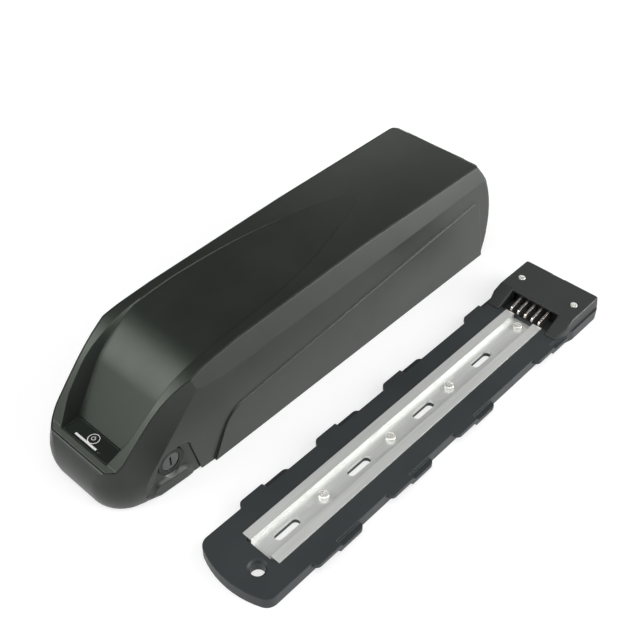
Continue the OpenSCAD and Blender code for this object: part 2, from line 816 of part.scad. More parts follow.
// Protection board standing in front of the cells
board_y0 = 55.6;
board_t = 1.6;
board_z0 = 12;
board_z1 = 58;
board_x0 = -24;
board_x1 = 31;
board_rib_xs = [-21, 28];
board_rib_half = 2;
board_rib_w = 2;
board_rib_top = 16;
heat_t = 2.6;
heat_gap = 1.2;
heat_foot_t = 1.2;
heat_z = [18, 57];
heat_x = [-22, 29];
chip_half = [3, 4];
chip_xs = [-17, -9, -1, 7];
chip_z = 40;
coil_r = 5;
coil_x = 20;
coil_z = 48;
chip_t = 2.6;
coil_t = 3.2;

module bms_board() {
    color([0.08, 0.3, 0.18]) in_pack()
        span([board_x0, board_y0, board_z0], [board_x1, board_y0 + board_t, board_z1]);
}

module bms_heat_plate() {
    color([0.75, 0.76, 0.78]) in_pack() {
        span([heat_x[0], board_y0 - heat_gap - heat_t, heat_z[0]],
            [heat_x[1], board_y0 - heat_gap, heat_z[1]]);
        for (x = [heat_x[0], heat_x[1] - heat_foot_t])
            span([x, board_y0 - heat_gap - heat_t, heat_z[0]], [x + heat_foot_t, board_y0, heat_z[1]]);
    }
}

module bms_parts() {
    face_y = board_y0 + board_t;
    color([0.07, 0.07, 0.08]) in_pack() {
        for (x = chip_xs) span([x - chip_half[0], face_y, chip_z - chip_half[1]],
            [x + chip_half[0], face_y + chip_t, chip_z + chip_half[1]]);
        translate([coil_x, face_y, coil_z]) rotate([-90, 0, 0])
            cylinder(r = coil_r, h = coil_t, $fn = round_fn);
    }
}

// Fuse between the protection board and the cells
fuse_x = [8, 22];
fuse_y = [61.6, 70];
fuse_top = 20;
fuse_blade_t = 5;
fuse_head_top = 26;
fuse_leg_z = 15;
fuse_leg_w = 4;
fuse_leg_t = 0.8;
fuse_edge = 0.8;
fuse_mid = (fuse_y[0] + fuse_y[1]) / 2;

module fuse_holder() {
    color([0.09, 0.09, 0.09]) in_pack() difference() {
        span([fuse_x[0], fuse_y[0], tray_top], [fuse_x[1], fuse_y[1], fuse_top]);
        for (x = [fuse_x[0] + fuse_edge, fuse_x[1] - fuse_edge - fuse_leg_w])
            span([x - run_fit, fuse_mid - fuse_leg_t / 2 - run_fit, fuse_leg_z],
                [x + fuse_leg_w + run_fit, fuse_mid + fuse_leg_t / 2 + run_fit, pack_h]);
    }
}

module blade_fuse() {
    color([0.15, 0.6, 0.25]) in_pack() {
        span([fuse_x[0], fuse_mid - fuse_blade_t / 2, fuse_top],
            [fuse_x[1], fuse_mid + fuse_blade_t / 2, fuse_head_top]);
        for (x = [fuse_x[0] + fuse_edge, fuse_x[1] - fuse_edge - fuse_leg_w])
            span([x, fuse_mid - fuse_leg_t / 2, fuse_leg_z + fit],
                [x + fuse_leg_w, fuse_mid + fuse_leg_t / 2, fuse_top + over]);
    }
}

// Leads inside the case
lead_r = 1.9;
lead_x = 36.2;
lead_z = 32;
lead_y1 = 299.7;
lead_low_z = 24;
lead_in_x = 11;
lead_start_y = 59.6;
lead_left_x0 = -20;
fuse_lead_y = 65.4;
fuse_lead_z = 17.4;

// A round lead that runs through the given points
module lead(points) {
    for (i = [0 : len(points) - 2]) {
        run = points[i + 1] - points[i];
        l = norm(run);
        translate(points[i]) rotate([0, acos(run[2] / l), atan2(run[1], run[0])])
            cylinder(r = lead_r, h = l, $fn = 24);
        if (i > 0) translate(points[i]) sphere(r = lead_r, $fn = 24);
    }
}

module lead_positive() {
    color([0.6, 0.07, 0.05]) in_pack() lead([
        [fuse_x[1], fuse_lead_y, fuse_lead_z], [lead_x, fuse_lead_y, fuse_lead_z],
        [lead_x, fuse_lead_y, lead_z], [lead_x, lead_y1, lead_z],
        [lead_x, lead_y1, lead_low_z], [lead_in_x, lead_y1, lead_low_z],
        [lead_in_x, lead_y1, socket_back_top]]);
}

module lead_negative() {
    color([0.05, 0.05, 0.05]) in_pack() lead([
        [lead_left_x0, board_y0 + board_t, lead_z], [lead_left_x0, lead_start_y, lead_z],
        [-lead_x, lead_start_y, lead_z], [-lead_x, lead_y1, lead_z],
        [-lead_x, lead_y1, lead_low_z], [-lead_in_x, lead_y1, lead_low_z],
        [-lead_in_x, lead_y1, socket_back_top]]);
}

// Discharge socket over the end of the rail
socket_half = 16;
socket_y1 = 326;
socket_z0 = 9.8;
socket_z1 = 18.8;
socket_back_half = 15;
socket_back_y = 298;
socket_back_z0 = 12;
socket_back_top = 19.4;
socket_neck_half = 13.4;
socket_neck_z0 = 12.6;
socket_neck_z1 = 18;
blade_pitch = 5.85;
blade_t = 1.6;
slot_gap = 0.5;
socket_slot_y0 = 308;
socket_slot_top = 15.3;
contact_t = 0.8;
contact_half = 1;
contact_ys = [309, 324];

module discharge_socket() {
    color([0.09, 0.09, 0.09]) in_pack() difference() {
        union() {
            span([-socket_half, pocket_y0, socket_z0], [socket_half, socket_y1, socket_z1]);
            span([-socket_neck_half, pocket_y0 - pocket_wall - over, socket_neck_z0],
                [socket_neck_half, pocket_y0 + over, socket_neck_z1]);
            span([-socket_back_half, socket_back_y, socket_back_z0],
                [socket_back_half, pocket_y0 - pocket_wall, socket_back_top]);
        }
        for (i = [-2 : 2]) translate([i * blade_pitch, 0, 0]) {
            span([-blade_t / 2 - slot_gap, socket_slot_y0, 0],
                [blade_t / 2 + slot_gap, pack_l, socket_slot_top]);
            span([-contact_half - run_fit, contact_ys[0] - run_fit, socket_slot_top - over],
                [contact_half + run_fit, contact_ys[1] + run_fit,
                    socket_slot_top + contact_t + run_fit]);
        }
    }
}

module socket_contacts() {
    color([0.75, 0.6, 0.25]) in_pack() for (i = [-2 : 2]) translate([i * blade_pitch, 0, 0])
        span([-contact_half, contact_ys[0], socket_slot_top + run_fit],
            [contact_half, contact_ys[1], socket_slot_top + contact_t + run_fit]);
}

module case_screws() {
    color([0.3, 0.3, 0.3]) in_pack() both_sides() for (y = screw_ys)
        translate([screw_x, y, 0]) {
            translate([0, 0, screw_head_z0])
                cylinder(r = screw_head_r, h = screw_head_z1 - screw_head_z0, $fn = round_fn);
            translate([0, 0, screw_head_z0])
                cylinder(r = screw_r, h = screw_top - screw_head_z0, $fn = round_fn);
        }
}

// Mounting plate; its own zero is where the rail starts
dock_y = 47.5;
plate_v0 = -28;
plate_front_r = 60;
box_v0 = 262;
box_top_v = 280;
box_v1 = 314.5;
box_top_half = 30.7;
box_corner_r = 5;
plate_corner_r = 8;
lug_vs = [12.5, 79, 145, 235.5];
lug_l = 42;
lug_near_l = 18;
lug_ramp_l = 2.5;
lug_low_z = 2.4;
lug_corner_r = 4;
plate_ribs_v = [4, 68, 132, 196];
plate_hollow_l = 60;
plate_hollow_u = [18, 26];
plate_skin = 2.5;
rail_proud = 0.5;
rail_top = plate_t + rail_proud;
flange_t = 2.2;
rail_channel_half = 8;
rail_floor_z = 5.2;
rail_floor_t = 2.2;
rail_fit = 0.1;
rail_relief = 1.6;
slot_v0 = 21.8;
rail_screw_vs = [53.5, 116.5, 178, 259];
rail_screw_r = 1.5;
rail_head_r = 3.3;
rail_head_t = 1.5;
lock_hole_u = 8;
lock_hole_v = bolt_y - dock_y;
lock_hole_r = 4.6;
lock_chamfer = 1.5;
mouth_half = 19.5;
mouth_v0 = 266.2;
mouth_z = 4.5;
box_roof_t = 2;
box_back_v = 311;
cavity_half = 18.4;
block_half = 17;
block_v = [281.5, 301];
block_top = 14.6;
blade_v0 = 266.8;
blade_v1 = 298;
blade_low = 5.6;
blade_front_top = 12;
blade_top = 14.2;
blade_round = 2.4;
cover_screw_u = 22.3;
cover_screw_v = 294.5;
cover_screw_head_r = 2.6;
cover_screw_z0 = 3;
cover_head_t = 1.2;
gland_u = -3.1;
gland_z = 9.8;
gland_r = 4.4;
gland_flange_r = 5;
gland_flange_t = 1.2;
gland_bore_r = 3.5;
notch_half = 5.3;
notch_v = 2;
notch_depth = 0.8;
notch_z = box_h - notch_depth;

// Outline of the plate, whose front edge bows forwards between its round corners
module plate_plan() {
    front_c = [0, plate_v0 + plate_front_r];
    side = plate_half - plate_corner_r;
    corner_v = front_c[1] - sqrt(pow(plate_front_r - plate_corner_r, 2) - side * side);
    meet = atan2(corner_v - front_c[1], side);
    polygon(concat(
        arc(front_c, plate_front_r, -180 - meet, meet),
        arc([side, corner_v], plate_corner_r, meet, 0, 6),
        [[plate_half, box_v0], [box_half, box_top_v]],
        turn([box_half, box_v1], 90, 180, box_corner_r),
        turn([-box_half, box_v1], 180, 270, box_corner_r),
        [[-box_half, box_top_v], [-plate_half, box_v0]],
        arc([-side, corner_v], plate_corner_r, 180, 180 - meet, 6)));
}

// Ears of the plate: a high near half, a ramp and a low far half
module lugs() {
    low_top = lug_low_z + lug_t;
    for (v = lug_vs) intersection() {
        across(2 * lug_half) polygon([
            [v, plate_t - lug_t], [v + lug_near_l, plate_t - lug_t],
            [v + lug_near_l + lug_ramp_l, lug_low_z], [v + lug_l, lug_low_z],
            [v + lug_l, low_top], [v + lug_near_l + 2 * lug_ramp_l, low_top],
            [v + lug_near_l + lug_ramp_l, plate_t], [v, plate_t]]);
        linear_extrude(plate_t) polygon(concat(
            turn([lug_half, v], 0, 90, lug_corner_r),
            turn([lug_half, v + lug_l], 90, 180, lug_corner_r),
            turn([-lug_half, v + lug_l], 180, 270, lug_corner_r),
            turn([-lug_half, v], 270, 360, lug_corner_r)));
    }
}

module slots(low, high) {
    for (i = [0 : 3]) translate([0, slot_v0 + i * slot_pitch, low]) {
        for (side = [-1, 1]) translate([0, side * (slot_l - slot_w) / 2, 0])
            cylinder(r = slot_w / 2, h = high - low, $fn = round_fn);
        span([-slot_w / 2, (slot_w - slot_l) / 2, 0], [slot_w / 2, (slot_l - slot_w) / 2, high - low]);
    }
}

module gland(r, v0, v1) {
    translate([gland_u, v1, gland_z]) rotate([90, 0, 0])
        cylinder(r = r, h = v1 - v0, $fn = round_fn);
}

module base_plate() {
    color([0.16, 0.18, 0.19]) on_plate() difference() {
        union() {
            linear_extrude(plate_t) plate_plan();
            lugs();
        }
        both_sides() for (v = plate_ribs_v)
            span([plate_hollow_u[0], v, -over],
                [plate_hollow_u[1], v + plate_hollow_l, plate_t - plate_skin]);
        span([-rail_w / 2 - rail_fit, -rail_fit, rail_top - flange_t],
            [rail_w / 2 + rail_fit, rail_l + rail_fit, pack_h]);
        span([-rail_channel_half - flange_t - rail_fit, -rail_relief, rail_floor_z - rail_floor_t],
            [rail_channel_half + flange_t + rail_fit, rail_l + rail_fit, pack_h]);
        span([-mouth_half, mouth_v0, mouth_z], [mouth_half, box_back_v, pack_h]);
        slots(-over, pack_h);
        for (v = rail_screw_vs) translate([0, v, over])
            cylinder(r = rail_screw_r + run_fit, h = pack_h, $fn = round_fn);
        translate([lock_hole_u, lock_hole_v, 0]) {
            translate([0, 0, -over]) cylinder(r = lock_hole_r, h = pack_h, $fn = round_fn);
            translate([0, 0, plate_t - lock_chamfer]) cylinder(r1 = lock_hole_r,
                r2 = lock_hole_r + 2 * lock_chamfer, h = 2 * lock_chamfer, $fn = round_fn);
        }
        both_sides() translate([cover_screw_u, cover_screw_v, cover_screw_z0 - fit])
            cylinder(r = rail_screw_r + run_fit, h = pack_h, $fn = round_fn);
        gland(gland_r + run_fit, box_v1 - box_corner_r - over, pack_l);
    }
}

module mount_rail() {
    floor_low = rail_floor_z - rail_floor_t;
    inner = rail_channel_half;
    outer = rail_channel_half + flange_t;
    color([0.8, 0.81, 0.82]) on_plate() difference() {
        translate([0, rail_l, 0]) rotate([90, 0, 0]) linear_extrude(rail_l) polygon([
            [-outer, floor_low], [outer, floor_low], [outer, rail_top - flange_t],
            [rail_w / 2, rail_top - flange_t], [rail_w / 2, rail_top], [inner, rail_top],
            [inner, rail_floor_z], [-inner, rail_floor_z], [-inner, rail_top],
            [-rail_w / 2, rail_top], [-rail_w / 2, rail_top - flange_t],
            [-outer, rail_top - flange_t]]);
        slots(0, rail_top + over);
        for (v = rail_screw_vs) translate([0, v, 0])
            cylinder(r = rail_screw_r + run_fit, h = pack_h, $fn = round_fn);
    }
}

module rail_screws() {
    color([0.85, 0.84, 0.8]) on_plate() for (v = rail_screw_vs) translate([0, v, 0]) {
        translate([0, 0, over + fit])
            cylinder(r = rail_screw_r, h = rail_floor_z - over, $fn = round_fn);
        intersection() {
            translate([0, 0, rail_floor_z])
                cylinder(r = rail_head_r, h = 2 * rail_head_t, $fn = round_fn);
            translate([0, 0, rail_floor_z + rail_head_t - 2 * rail_head_r])
                sphere(r = 2 * rail_head_r, $fn = round_fn);
        }
    }
}

module connector_cover() {
    lean = atan2(box_half - box_top_half, box_h);
    color([0.17, 0.18, 0.18]) on_plate() difference() {
        intersection() {
            across(pack_w) polygon([[box_v0, plate_t], [box_top_v, box_h], [box_v1, box_h],
                [box_v1, plate_t]]);
            linear_extrude(pack_h) plate_plan();
            both_sides_lean(lean);
        }
        span([-mouth_half, 0, 0], [mouth_half, box_top_v - over, pack_h]);
        span([-cavity_half, 0, 0], [cavity_half, box_back_v, box_h - box_roof_t]);
        both_sides() {
            translate([cover_screw_u, cover_screw_v, 0])
                cylinder(r = rail_screw_r + run_fit, h = pack_h, $fn = round_fn);
            translate([cover_screw_u, cover_screw_v, box_h - cover_head_t / 2])
                cylinder(r = cover_screw_head_r + fit, h = pack_h, $fn = round_fn);
        }
        gland(gland_r + run_fit, box_v1 - box_corner_r - over, pack_l);
        span([gland_u - notch_half, box_v1 - notch_v, notch_z],
            [gland_u + notch_half, pack_l, pack_h]);
    }
}

// What lies between the box's two leaning sides
module both_sides_lean(lean) {
    intersection() {
        translate([box_half, 0, 0]) rotate([0, -lean, 0])
            translate([-big, 0, -pack_h]) cube([big, big, 2 * pack_h]);
        mirror([1, 0, 0]) translate([box_half, 0, 0]) rotate([0, -lean, 0])
            translate([-big, 0, -pack_h]) cube([big, big, 2 * pack_h]);
    }
}

module contact_block() {
    color([0.08, 0.08, 0.08]) on_plate() difference() {
        span([-block_half, block_v[0], mouth_z], [block_half, block_v[1], block_top]);
        for (i = [-2 : 2]) span([i * blade_pitch - blade_t / 2 - run_fit, 0, blade_low - run_fit],
            [i * blade_pitch + blade_t / 2 + run_fit, blade_v1 + run_fit, blade_top + run_fit]);
    }
}

module blade_contacts() {
    color([0.8, 0.68, 0.32]) on_plate() for (i = [-2 : 2])
        translate([i * blade_pitch, 0, 0]) across(blade_t) polygon(concat(
            [[blade_v1, blade_top], [box_top_v, blade_top]],
            turn([blade_v0, blade_front_top], 190, 270, blade_round),
            turn([blade_v0, blade_low], 270, 360, blade_round / 2),
            [[blade_v1, blade_low]]));
}

module cover_screws() {
    color([0.6, 0.6, 0.58]) on_plate() both_sides() translate([cover_screw_u, cover_screw_v, 0]) {
        translate([0, 0, cover_screw_z0])
            cylinder(r = rail_screw_r, h = box_h - cover_screw_z0, $fn = round_fn);
        translate([0, 0, box_h - cover_head_t / 2])
            cylinder(r = cover_screw_head_r, h = cover_head_t, $fn = round_fn);
    }
}

module cable_grommet() {
    color([0.07, 0.07, 0.07]) on_plate() difference() {
        union() {
            gland(gland_r, box_back_v - gland_flange_t - 2 * fit, box_v1 - run_fit);
            gland(gland_flange_r, box_back_v - gland_flange_t - fit, box_back_v - fit);
        }
        gland(gland_bore_r, 0, pack_l);
    }
}

side_shell();
top_cover();
bottom_tray();
gauge_window();
gauge_bar();
gauge_board();
power_button();
lock_housing();
lock_nut();
lock_barrel();
lock_cam();
lock_bolt();
charge_socket();
charge_cap();
switch_frame();
switch_rocker();
cells_row(0);  // cells_row_1
cells_row(1);  // cells_row_2
cells_row(2);  // cells_row_3
cells_row(3);  // cells_row_4
cell_holder_left();
cell_holder_right();
nickel_strips_left();
nickel_strips_right();
bms_board();
bms_heat_plate();
bms_parts();
fuse_holder();
blade_fuse();
lead_positive();
lead_negative();
discharge_socket();
socket_contacts();
case_screws();
base_plate();
mount_rail();
rail_screws();
connector_cover();
contact_block();
blade_contacts();
cover_screws();
cable_grommet();
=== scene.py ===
"""Down-tube battery pack and its mounting plate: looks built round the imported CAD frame.

Lengths are in metres, and MM turns millimetres into them. Angles are in degrees.
"""

import math
from collections import namedtuple

import bmesh
import bpy
from mathutils import Matrix, Vector


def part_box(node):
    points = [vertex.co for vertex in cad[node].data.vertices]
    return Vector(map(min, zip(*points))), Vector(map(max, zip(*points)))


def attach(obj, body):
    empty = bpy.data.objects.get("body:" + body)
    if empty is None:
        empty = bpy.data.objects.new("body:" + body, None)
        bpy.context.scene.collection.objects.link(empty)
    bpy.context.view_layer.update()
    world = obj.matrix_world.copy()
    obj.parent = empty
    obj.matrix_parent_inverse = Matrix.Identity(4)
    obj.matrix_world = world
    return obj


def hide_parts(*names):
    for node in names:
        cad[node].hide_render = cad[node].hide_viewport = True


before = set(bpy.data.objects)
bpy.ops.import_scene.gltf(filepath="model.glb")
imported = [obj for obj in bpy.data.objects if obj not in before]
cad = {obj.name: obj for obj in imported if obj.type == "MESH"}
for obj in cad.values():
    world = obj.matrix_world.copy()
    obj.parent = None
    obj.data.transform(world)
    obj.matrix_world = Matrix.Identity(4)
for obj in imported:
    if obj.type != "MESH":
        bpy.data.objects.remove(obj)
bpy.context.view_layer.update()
scene = bpy.context.scene
scene.view_settings.view_transform = "Standard"

MM = 0.001


# Camera, fitted to the edges seen in the photograph
CAMERA_PLACE = (0.313135, -0.364078, 0.493302)
CAMERA_RIGHT = (0.73543, 0.67757, 0.00620)
CAMERA_UP = (-0.46184, 0.49454, 0.73630)
CAMERA_FORWARD = (-0.49582, 0.54436, -0.67663)
CAMERA_LENS = 56.273
CAMERA_SENSOR = 36.0
CLIP_START, CLIP_END = 0.01, 50.0


def add_camera():
    data = bpy.data.cameras.new("camera")
    data.sensor_width = CAMERA_SENSOR
    data.lens = CAMERA_LENS
    data.clip_start = CLIP_START
    data.clip_end = CLIP_END
    camera = bpy.data.objects.new("camera", data)
    scene.collection.objects.link(camera)
    axes = Matrix((CAMERA_RIGHT, CAMERA_UP, -Vector(CAMERA_FORWARD))).transposed()
    camera.matrix_world = Matrix.Translation(CAMERA_PLACE) @ axes.to_4x4()
    scene.camera = camera


# Lights, world and floor
ROOM_GREY = 0.12
FLOOR_HALF = 2.4
FLOOR_DROP = 0.2 * MM
FLOOR_PAPER = 0.82
FLOOR_PALE = 0.45
FLOOR_LIFT = 0.62
FLOOR_MIRRORED = 0.88


def add_lamp(name, place, target, size, brightness):
    """A soft rectangular lamp whose face has the given brightness, where 1 is a lit white."""
    data = bpy.data.lights.new(name, "AREA")
    data.shape = "RECTANGLE"
    data.size, data.size_y = size
    data.energy = brightness * math.pi * size[0] * size[1]
    lamp = bpy.data.objects.new(name, data)
    scene.collection.objects.link(lamp)
    lamp.location = place
    aim = Vector(target) - Vector(place)
    lamp.rotation_euler = aim.to_track_quat("-Z", "Y").to_euler()


def add_lights():
    add_lamp("front_left", place=(-0.98, -1.07, 1.16), target=(0.0, -0.08, 0.04),
             size=(1.4, 1.0), brightness=3.6)
    add_lamp("right_back", place=(1.3, 0.95, 0.78), target=(0.0, 0.05, 0.04),
             size=(1.8, 1.5), brightness=3.3)
    add_lamp("overhead", place=(0.45, -0.35, 1.6), target=(0.0, 0.0, 0.0),
             size=(1.4, 1.4), brightness=2.0)
    add_lamp("back_left", place=(-0.85, 1.6, 0.75), target=(0.0, 0.1, 0.06),
             size=(1.5, 0.7), brightness=0.8)
    add_lamp("low_right", place=(0.85, 0.85, 0.2), target=(0.0, 0.12, 0.05),
             size=(0.6, 0.35), brightness=7.5)
    add_lamp("low_front", place=(-0.35, -1.2, 0.35), target=(-0.05, -0.15, 0.03),
             size=(1.0, 0.5), brightness=1.3)


def grey(level):
    return (level, level, level, 1.0)


def shader(tree, kind, level, strength=None):
    """A grey shader's output, with its strength where the kind has one."""
    made = tree.nodes.new(kind)
    made.inputs["Color"].default_value = grey(level)
    if strength is not None:
        made.inputs["Strength"].default_value = strength
    return made.outputs[0]


def by_ray(tree, ray, others, chosen):
    """Shows one shader to the rays of a kind and another to all the rest."""
    path = tree.nodes.new("ShaderNodeLightPath")
    mix = tree.nodes.new("ShaderNodeMixShader")
    tree.links.new(path.outputs[ray], mix.inputs["Fac"])
    tree.links.new(others, mix.inputs[1])
    tree.links.new(chosen, mix.inputs[2])
    return mix.outputs[0]


def add_world():
    """A dim grey room that the camera sees as white."""
    world = bpy.data.worlds.new("studio")
    scene.world = world
    world.use_nodes = True
    tree = world.node_tree
    tree.nodes.clear()
    seen = shader(tree, "ShaderNodeBackground", 1.0, strength=1.0)
    room = shader(tree, "ShaderNodeBackground", ROOM_GREY, strength=1.0)
    out = tree.nodes.new("ShaderNodeOutputWorld")
    tree.links.new(by_ray(tree, "Is Camera Ray", room, seen), out.inputs["Surface"])


def floor_material():
    """White paper that keeps the shadow, and that gloss on the part mirrors as white."""
    mat = bpy.data.materials.new("floor_paper")
    mat.use_nodes = True
    tree = mat.node_tree
    tree.nodes.clear()
    paper = shader(tree, "ShaderNodeBsdfDiffuse", FLOOR_PAPER)
    pale = shader(tree, "ShaderNodeBsdfDiffuse", FLOOR_PALE)
    lift = shader(tree, "ShaderNodeEmission", 1.0, strength=FLOOR_LIFT)
    mirrored = shader(tree, "ShaderNodeEmission", 1.0, strength=FLOOR_MIRRORED)
    lifted = tree.nodes.new("ShaderNodeAddShader")
    tree.links.new(pale, lifted.inputs[0])
    tree.links.new(lift, lifted.inputs[1])
    unseen = by_ray(tree, "Is Glossy Ray", paper, mirrored)
    out = tree.nodes.new("ShaderNodeOutputMaterial")
    tree.links.new(by_ray(tree, "Is Camera Ray", unseen, lifted.outputs[0]), out.inputs["Surface"])
    return mat


def add_floor():
    half = FLOOR_HALF
    mesh = bpy.data.meshes.new("floor")
    corners = [(-half, -half, 0), (half, -half, 0), (half, half, 0), (-half, half, 0)]
    mesh.from_pydata(corners, [], [(0, 1, 2, 3)])
    mesh.materials.append(floor_material())
    floor = bpy.data.objects.new("floor", mesh)
    scene.collection.objects.link(floor)
    floor.location.z = -FLOOR_DROP


# What the materials share: the stretch of the noise that they spread out, and tints of gloss
NOISE_RANGE = (0.3, 0.7)
NOISE_ROUGHNESS = 0.55
BEVEL_SAMPLES = 6
WHITE = (1.0, 1.0, 1.0)
GREENISH = (0.88, 1.0, 0.86)
NEUTRAL = (0.95, 1.0, 0.96)
BLUISH = (0.92, 0.98, 1.0)


class Material:
    """A node material whose colour, roughness and relief come from object-space noise."""

    def __init__(self, name, metallic=0.0, ior=1.5, tint=WHITE):
        self.mat = bpy.data.materials.new(name)
        self.mat.use_nodes = True
        self.tree = self.mat.node_tree
        self.bsdf = self.tree.nodes["Principled BSDF"]
        self.bsdf.inputs["Metallic"].default_value = metallic
        self.bsdf.inputs["IOR"].default_value = ior
        self.bsdf.inputs["Specular Tint"].default_value = (*tint, 1.0)
        self.place = self.tree.nodes.new("ShaderNodeTexCoord").outputs["Object"]

    def link(self, source, target):
        self.tree.links.new(source, target)

    def stretched(self, scale):
        """Object coordinates scaled by a factor on each axis."""
        mapping = self.tree.nodes.new("ShaderNodeMapping")
        mapping.inputs["Scale"].default_value = scale
        self.link(self.place, mapping.inputs["Vector"])
        return mapping.outputs["Vector"]

    def noise(self, where, scale, detail):
        """Noise over a place, with about as many cells in a metre as the scale says."""
        made = self.tree.nodes.new("ShaderNodeTexNoise")
        made.inputs["Scale"].default_value = scale
        made.inputs["Detail"].default_value = detail
        made.inputs["Roughness"].default_value = NOISE_ROUGHNESS
        self.link(where, made.inputs["Vector"])
        return made.outputs["Fac"]

    def colour(self, fac, dark, light):
        ramp = self.tree.nodes.new("ShaderNodeValToRGB")
        for element, at, shade in zip(ramp.color_ramp.elements, NOISE_RANGE, (dark, light)):
            element.position = at
            element.color = (*shade, 1.0)
        self.link(fac, ramp.inputs["Fac"])
        self.link(ramp.outputs["Color"], self.bsdf.inputs["Base Color"])

    def roughness(self, fac, low, high):
        spread = self.tree.nodes.new("ShaderNodeMapRange")
        spread.inputs["From Min"].default_value = NOISE_RANGE[0]
        spread.inputs["From Max"].default_value = NOISE_RANGE[1]
        spread.inputs["To Min"].default_value = low
        spread.inputs["To Max"].default_value = high
        self.link(fac, spread.inputs["Value"])
        self.link(spread.outputs["Result"], self.bsdf.inputs["Roughness"])

    def relief(self, fac, depth, edge):
        """Rounds the edges in shading by a radius, and adds relief of a depth over that."""
        bevel = self.tree.nodes.new("ShaderNodeBevel")
        bevel.samples = BEVEL_SAMPLES
        bevel.inputs["Radius"].default_value = edge
        bump = self.tree.nodes.new("ShaderNodeBump")
        bump.inputs["Strength"].default_value = 1.0
        bump.inputs["Distance"].default_value = depth
        self.link(fac, bump.inputs["Height"])
        self.link(bevel.outputs["Normal"], bump.inputs["Normal"])
        self.link(bump.outputs["Normal"], self.bsdf.inputs["Normal"])


# Moulded plastic has broad shades of colour, smaller ones of roughness and a fine grain
PLASTIC_SHADES, PLASTIC_SHADES_DETAIL = 9.0, 4.0
PLASTIC_GLOSS, PLASTIC_GLOSS_DETAIL = 35.0, 5.0
PLASTIC_GRAIN_DETAIL = 2.0

# Brushed or turned metal has one set of lines for all three
METAL_DETAIL = 3.0
METAL_GLOSS_SHARE = 0.7


def plastic(name, dark, light, rough, edge=0.6 * MM, grain=1500, depth=0.02 * MM, ior=1.5,
            tint=WHITE):
    m = Material(name, ior=ior, tint=tint)
    m.colour(m.noise(m.place, PLASTIC_SHADES, PLASTIC_SHADES_DETAIL), dark, light)
    m.roughness(m.noise(m.place, PLASTIC_GLOSS, PLASTIC_GLOSS_DETAIL), *rough)
    m.relief(m.noise(m.place, grain, PLASTIC_GRAIN_DETAIL), depth, edge)
    return m.mat


def metal(name, dark, light, rough, edge=0.4 * MM, stretch=(1, 1, 1), grain=900,
          depth=0.01 * MM, metallic=1.0):
    m = Material(name, metallic=metallic)
    lines = m.stretched(stretch)
    m.colour(m.noise(lines, grain, METAL_DETAIL), dark, light)
    m.roughness(m.noise(lines, grain * METAL_GLOSS_SHARE, METAL_DETAIL), *rough)
    m.relief(m.noise(lines, grain, METAL_DETAIL), depth, edge)
    return m.mat


# Materials of the pack's outside
SATIN_DARK, SATIN_LIGHT = (0.010, 0.0115, 0.0098), (0.015, 0.017, 0.0145)
SATIN_ROUGH = (0.33, 0.40)


def shell_satin():
    return plastic("shell_satin", SATIN_DARK, SATIN_LIGHT, SATIN_ROUGH,
                   edge=0.9 * MM, ior=1.6, tint=NEUTRAL)


def cover_satin():
    return plastic("cover_satin", SATIN_DARK, SATIN_LIGHT, SATIN_ROUGH,
                   edge=0.9 * MM, ior=1.6, tint=GREENISH)


def tray_matt():
    return plastic("tray_matt", dark=(0.010, 0.011, 0.010), light=(0.016, 0.018, 0.016),
                   rough=(0.42, 0.5), edge=0.6 * MM, tint=GREENISH)


def gauge_gloss():
    return plastic("gauge_gloss", dark=(0.013, 0.016, 0.013), light=(0.017, 0.020, 0.017),
                   rough=(0.20, 0.27), edge=0.2 * MM, depth=0.002 * MM, tint=GREENISH)


def gauge_white():
    return plastic("gauge_white", dark=(0.78, 0.78, 0.77), light=(0.84, 0.84, 0.83),
                   rough=(0.25, 0.32), edge=0.1 * MM, depth=0.002 * MM)


def button_black():
    return plastic("button_black", dark=(0.012, 0.013, 0.012), light=(0.016, 0.017, 0.016),
                   rough=(0.26, 0.32), edge=0.3 * MM, depth=0.004 * MM)


def lock_zinc():
    return metal("lock_zinc", dark=(0.035, 0.037, 0.036), light=(0.05, 0.052, 0.05),
                 rough=(0.3, 0.38), edge=0.6 * MM, grain=500, depth=0.004 * MM)


def lock_steel():
    return metal("lock_steel", dark=(0.11, 0.115, 0.112), light=(0.15, 0.155, 0.15),
                 rough=(0.32, 0.4), grain=500, depth=0.004 * MM)


def cap_rubber():
    return plastic("cap_rubber", dark=(0.010, 0.010, 0.010), light=(0.016, 0.016, 0.016),
                   rough=(0.6, 0.72), edge=0.5 * MM, depth=0.04 * MM)


def switch_black():
    return plastic("switch_black", dark=(0.010, 0.010, 0.010), light=(0.014, 0.014, 0.014),
                   rough=(0.3, 0.38), edge=0.4 * MM)


def rocker_red():
    return plastic("rocker_red", dark=(0.30, 0.012, 0.009), light=(0.38, 0.018, 0.012),
                   rough=(0.2, 0.28), edge=0.4 * MM)


# Materials inside the pack
def board_green():
    return plastic("board_green", dark=(0.012, 0.09, 0.045), light=(0.02, 0.12, 0.06),
                   rough=(0.3, 0.4), edge=0.2 * MM, grain=600, depth=0.01 * MM)


def socket_black():
    return plastic("socket_black", dark=(0.012, 0.012, 0.012), light=(0.02, 0.02, 0.02),
                   rough=(0.4, 0.5), edge=0.3 * MM)


def cell_wrap():
    return plastic("cell_wrap", dark=(0.03, 0.16, 0.24), light=(0.04, 0.20, 0.29),
                   rough=(0.25, 0.35), edge=0.4 * MM, grain=300, depth=0.02 * MM)


def holder_black():
    return plastic("holder_black", dark=(0.015, 0.015, 0.015), light=(0.025, 0.025, 0.025),
                   rough=(0.45, 0.55), edge=0.4 * MM)


def nickel_strip():
    return metal("nickel_strip", dark=(0.50, 0.48, 0.44), light=(0.62, 0.6, 0.56),
                 rough=(0.28, 0.4), stretch=(1, 0.05, 1))


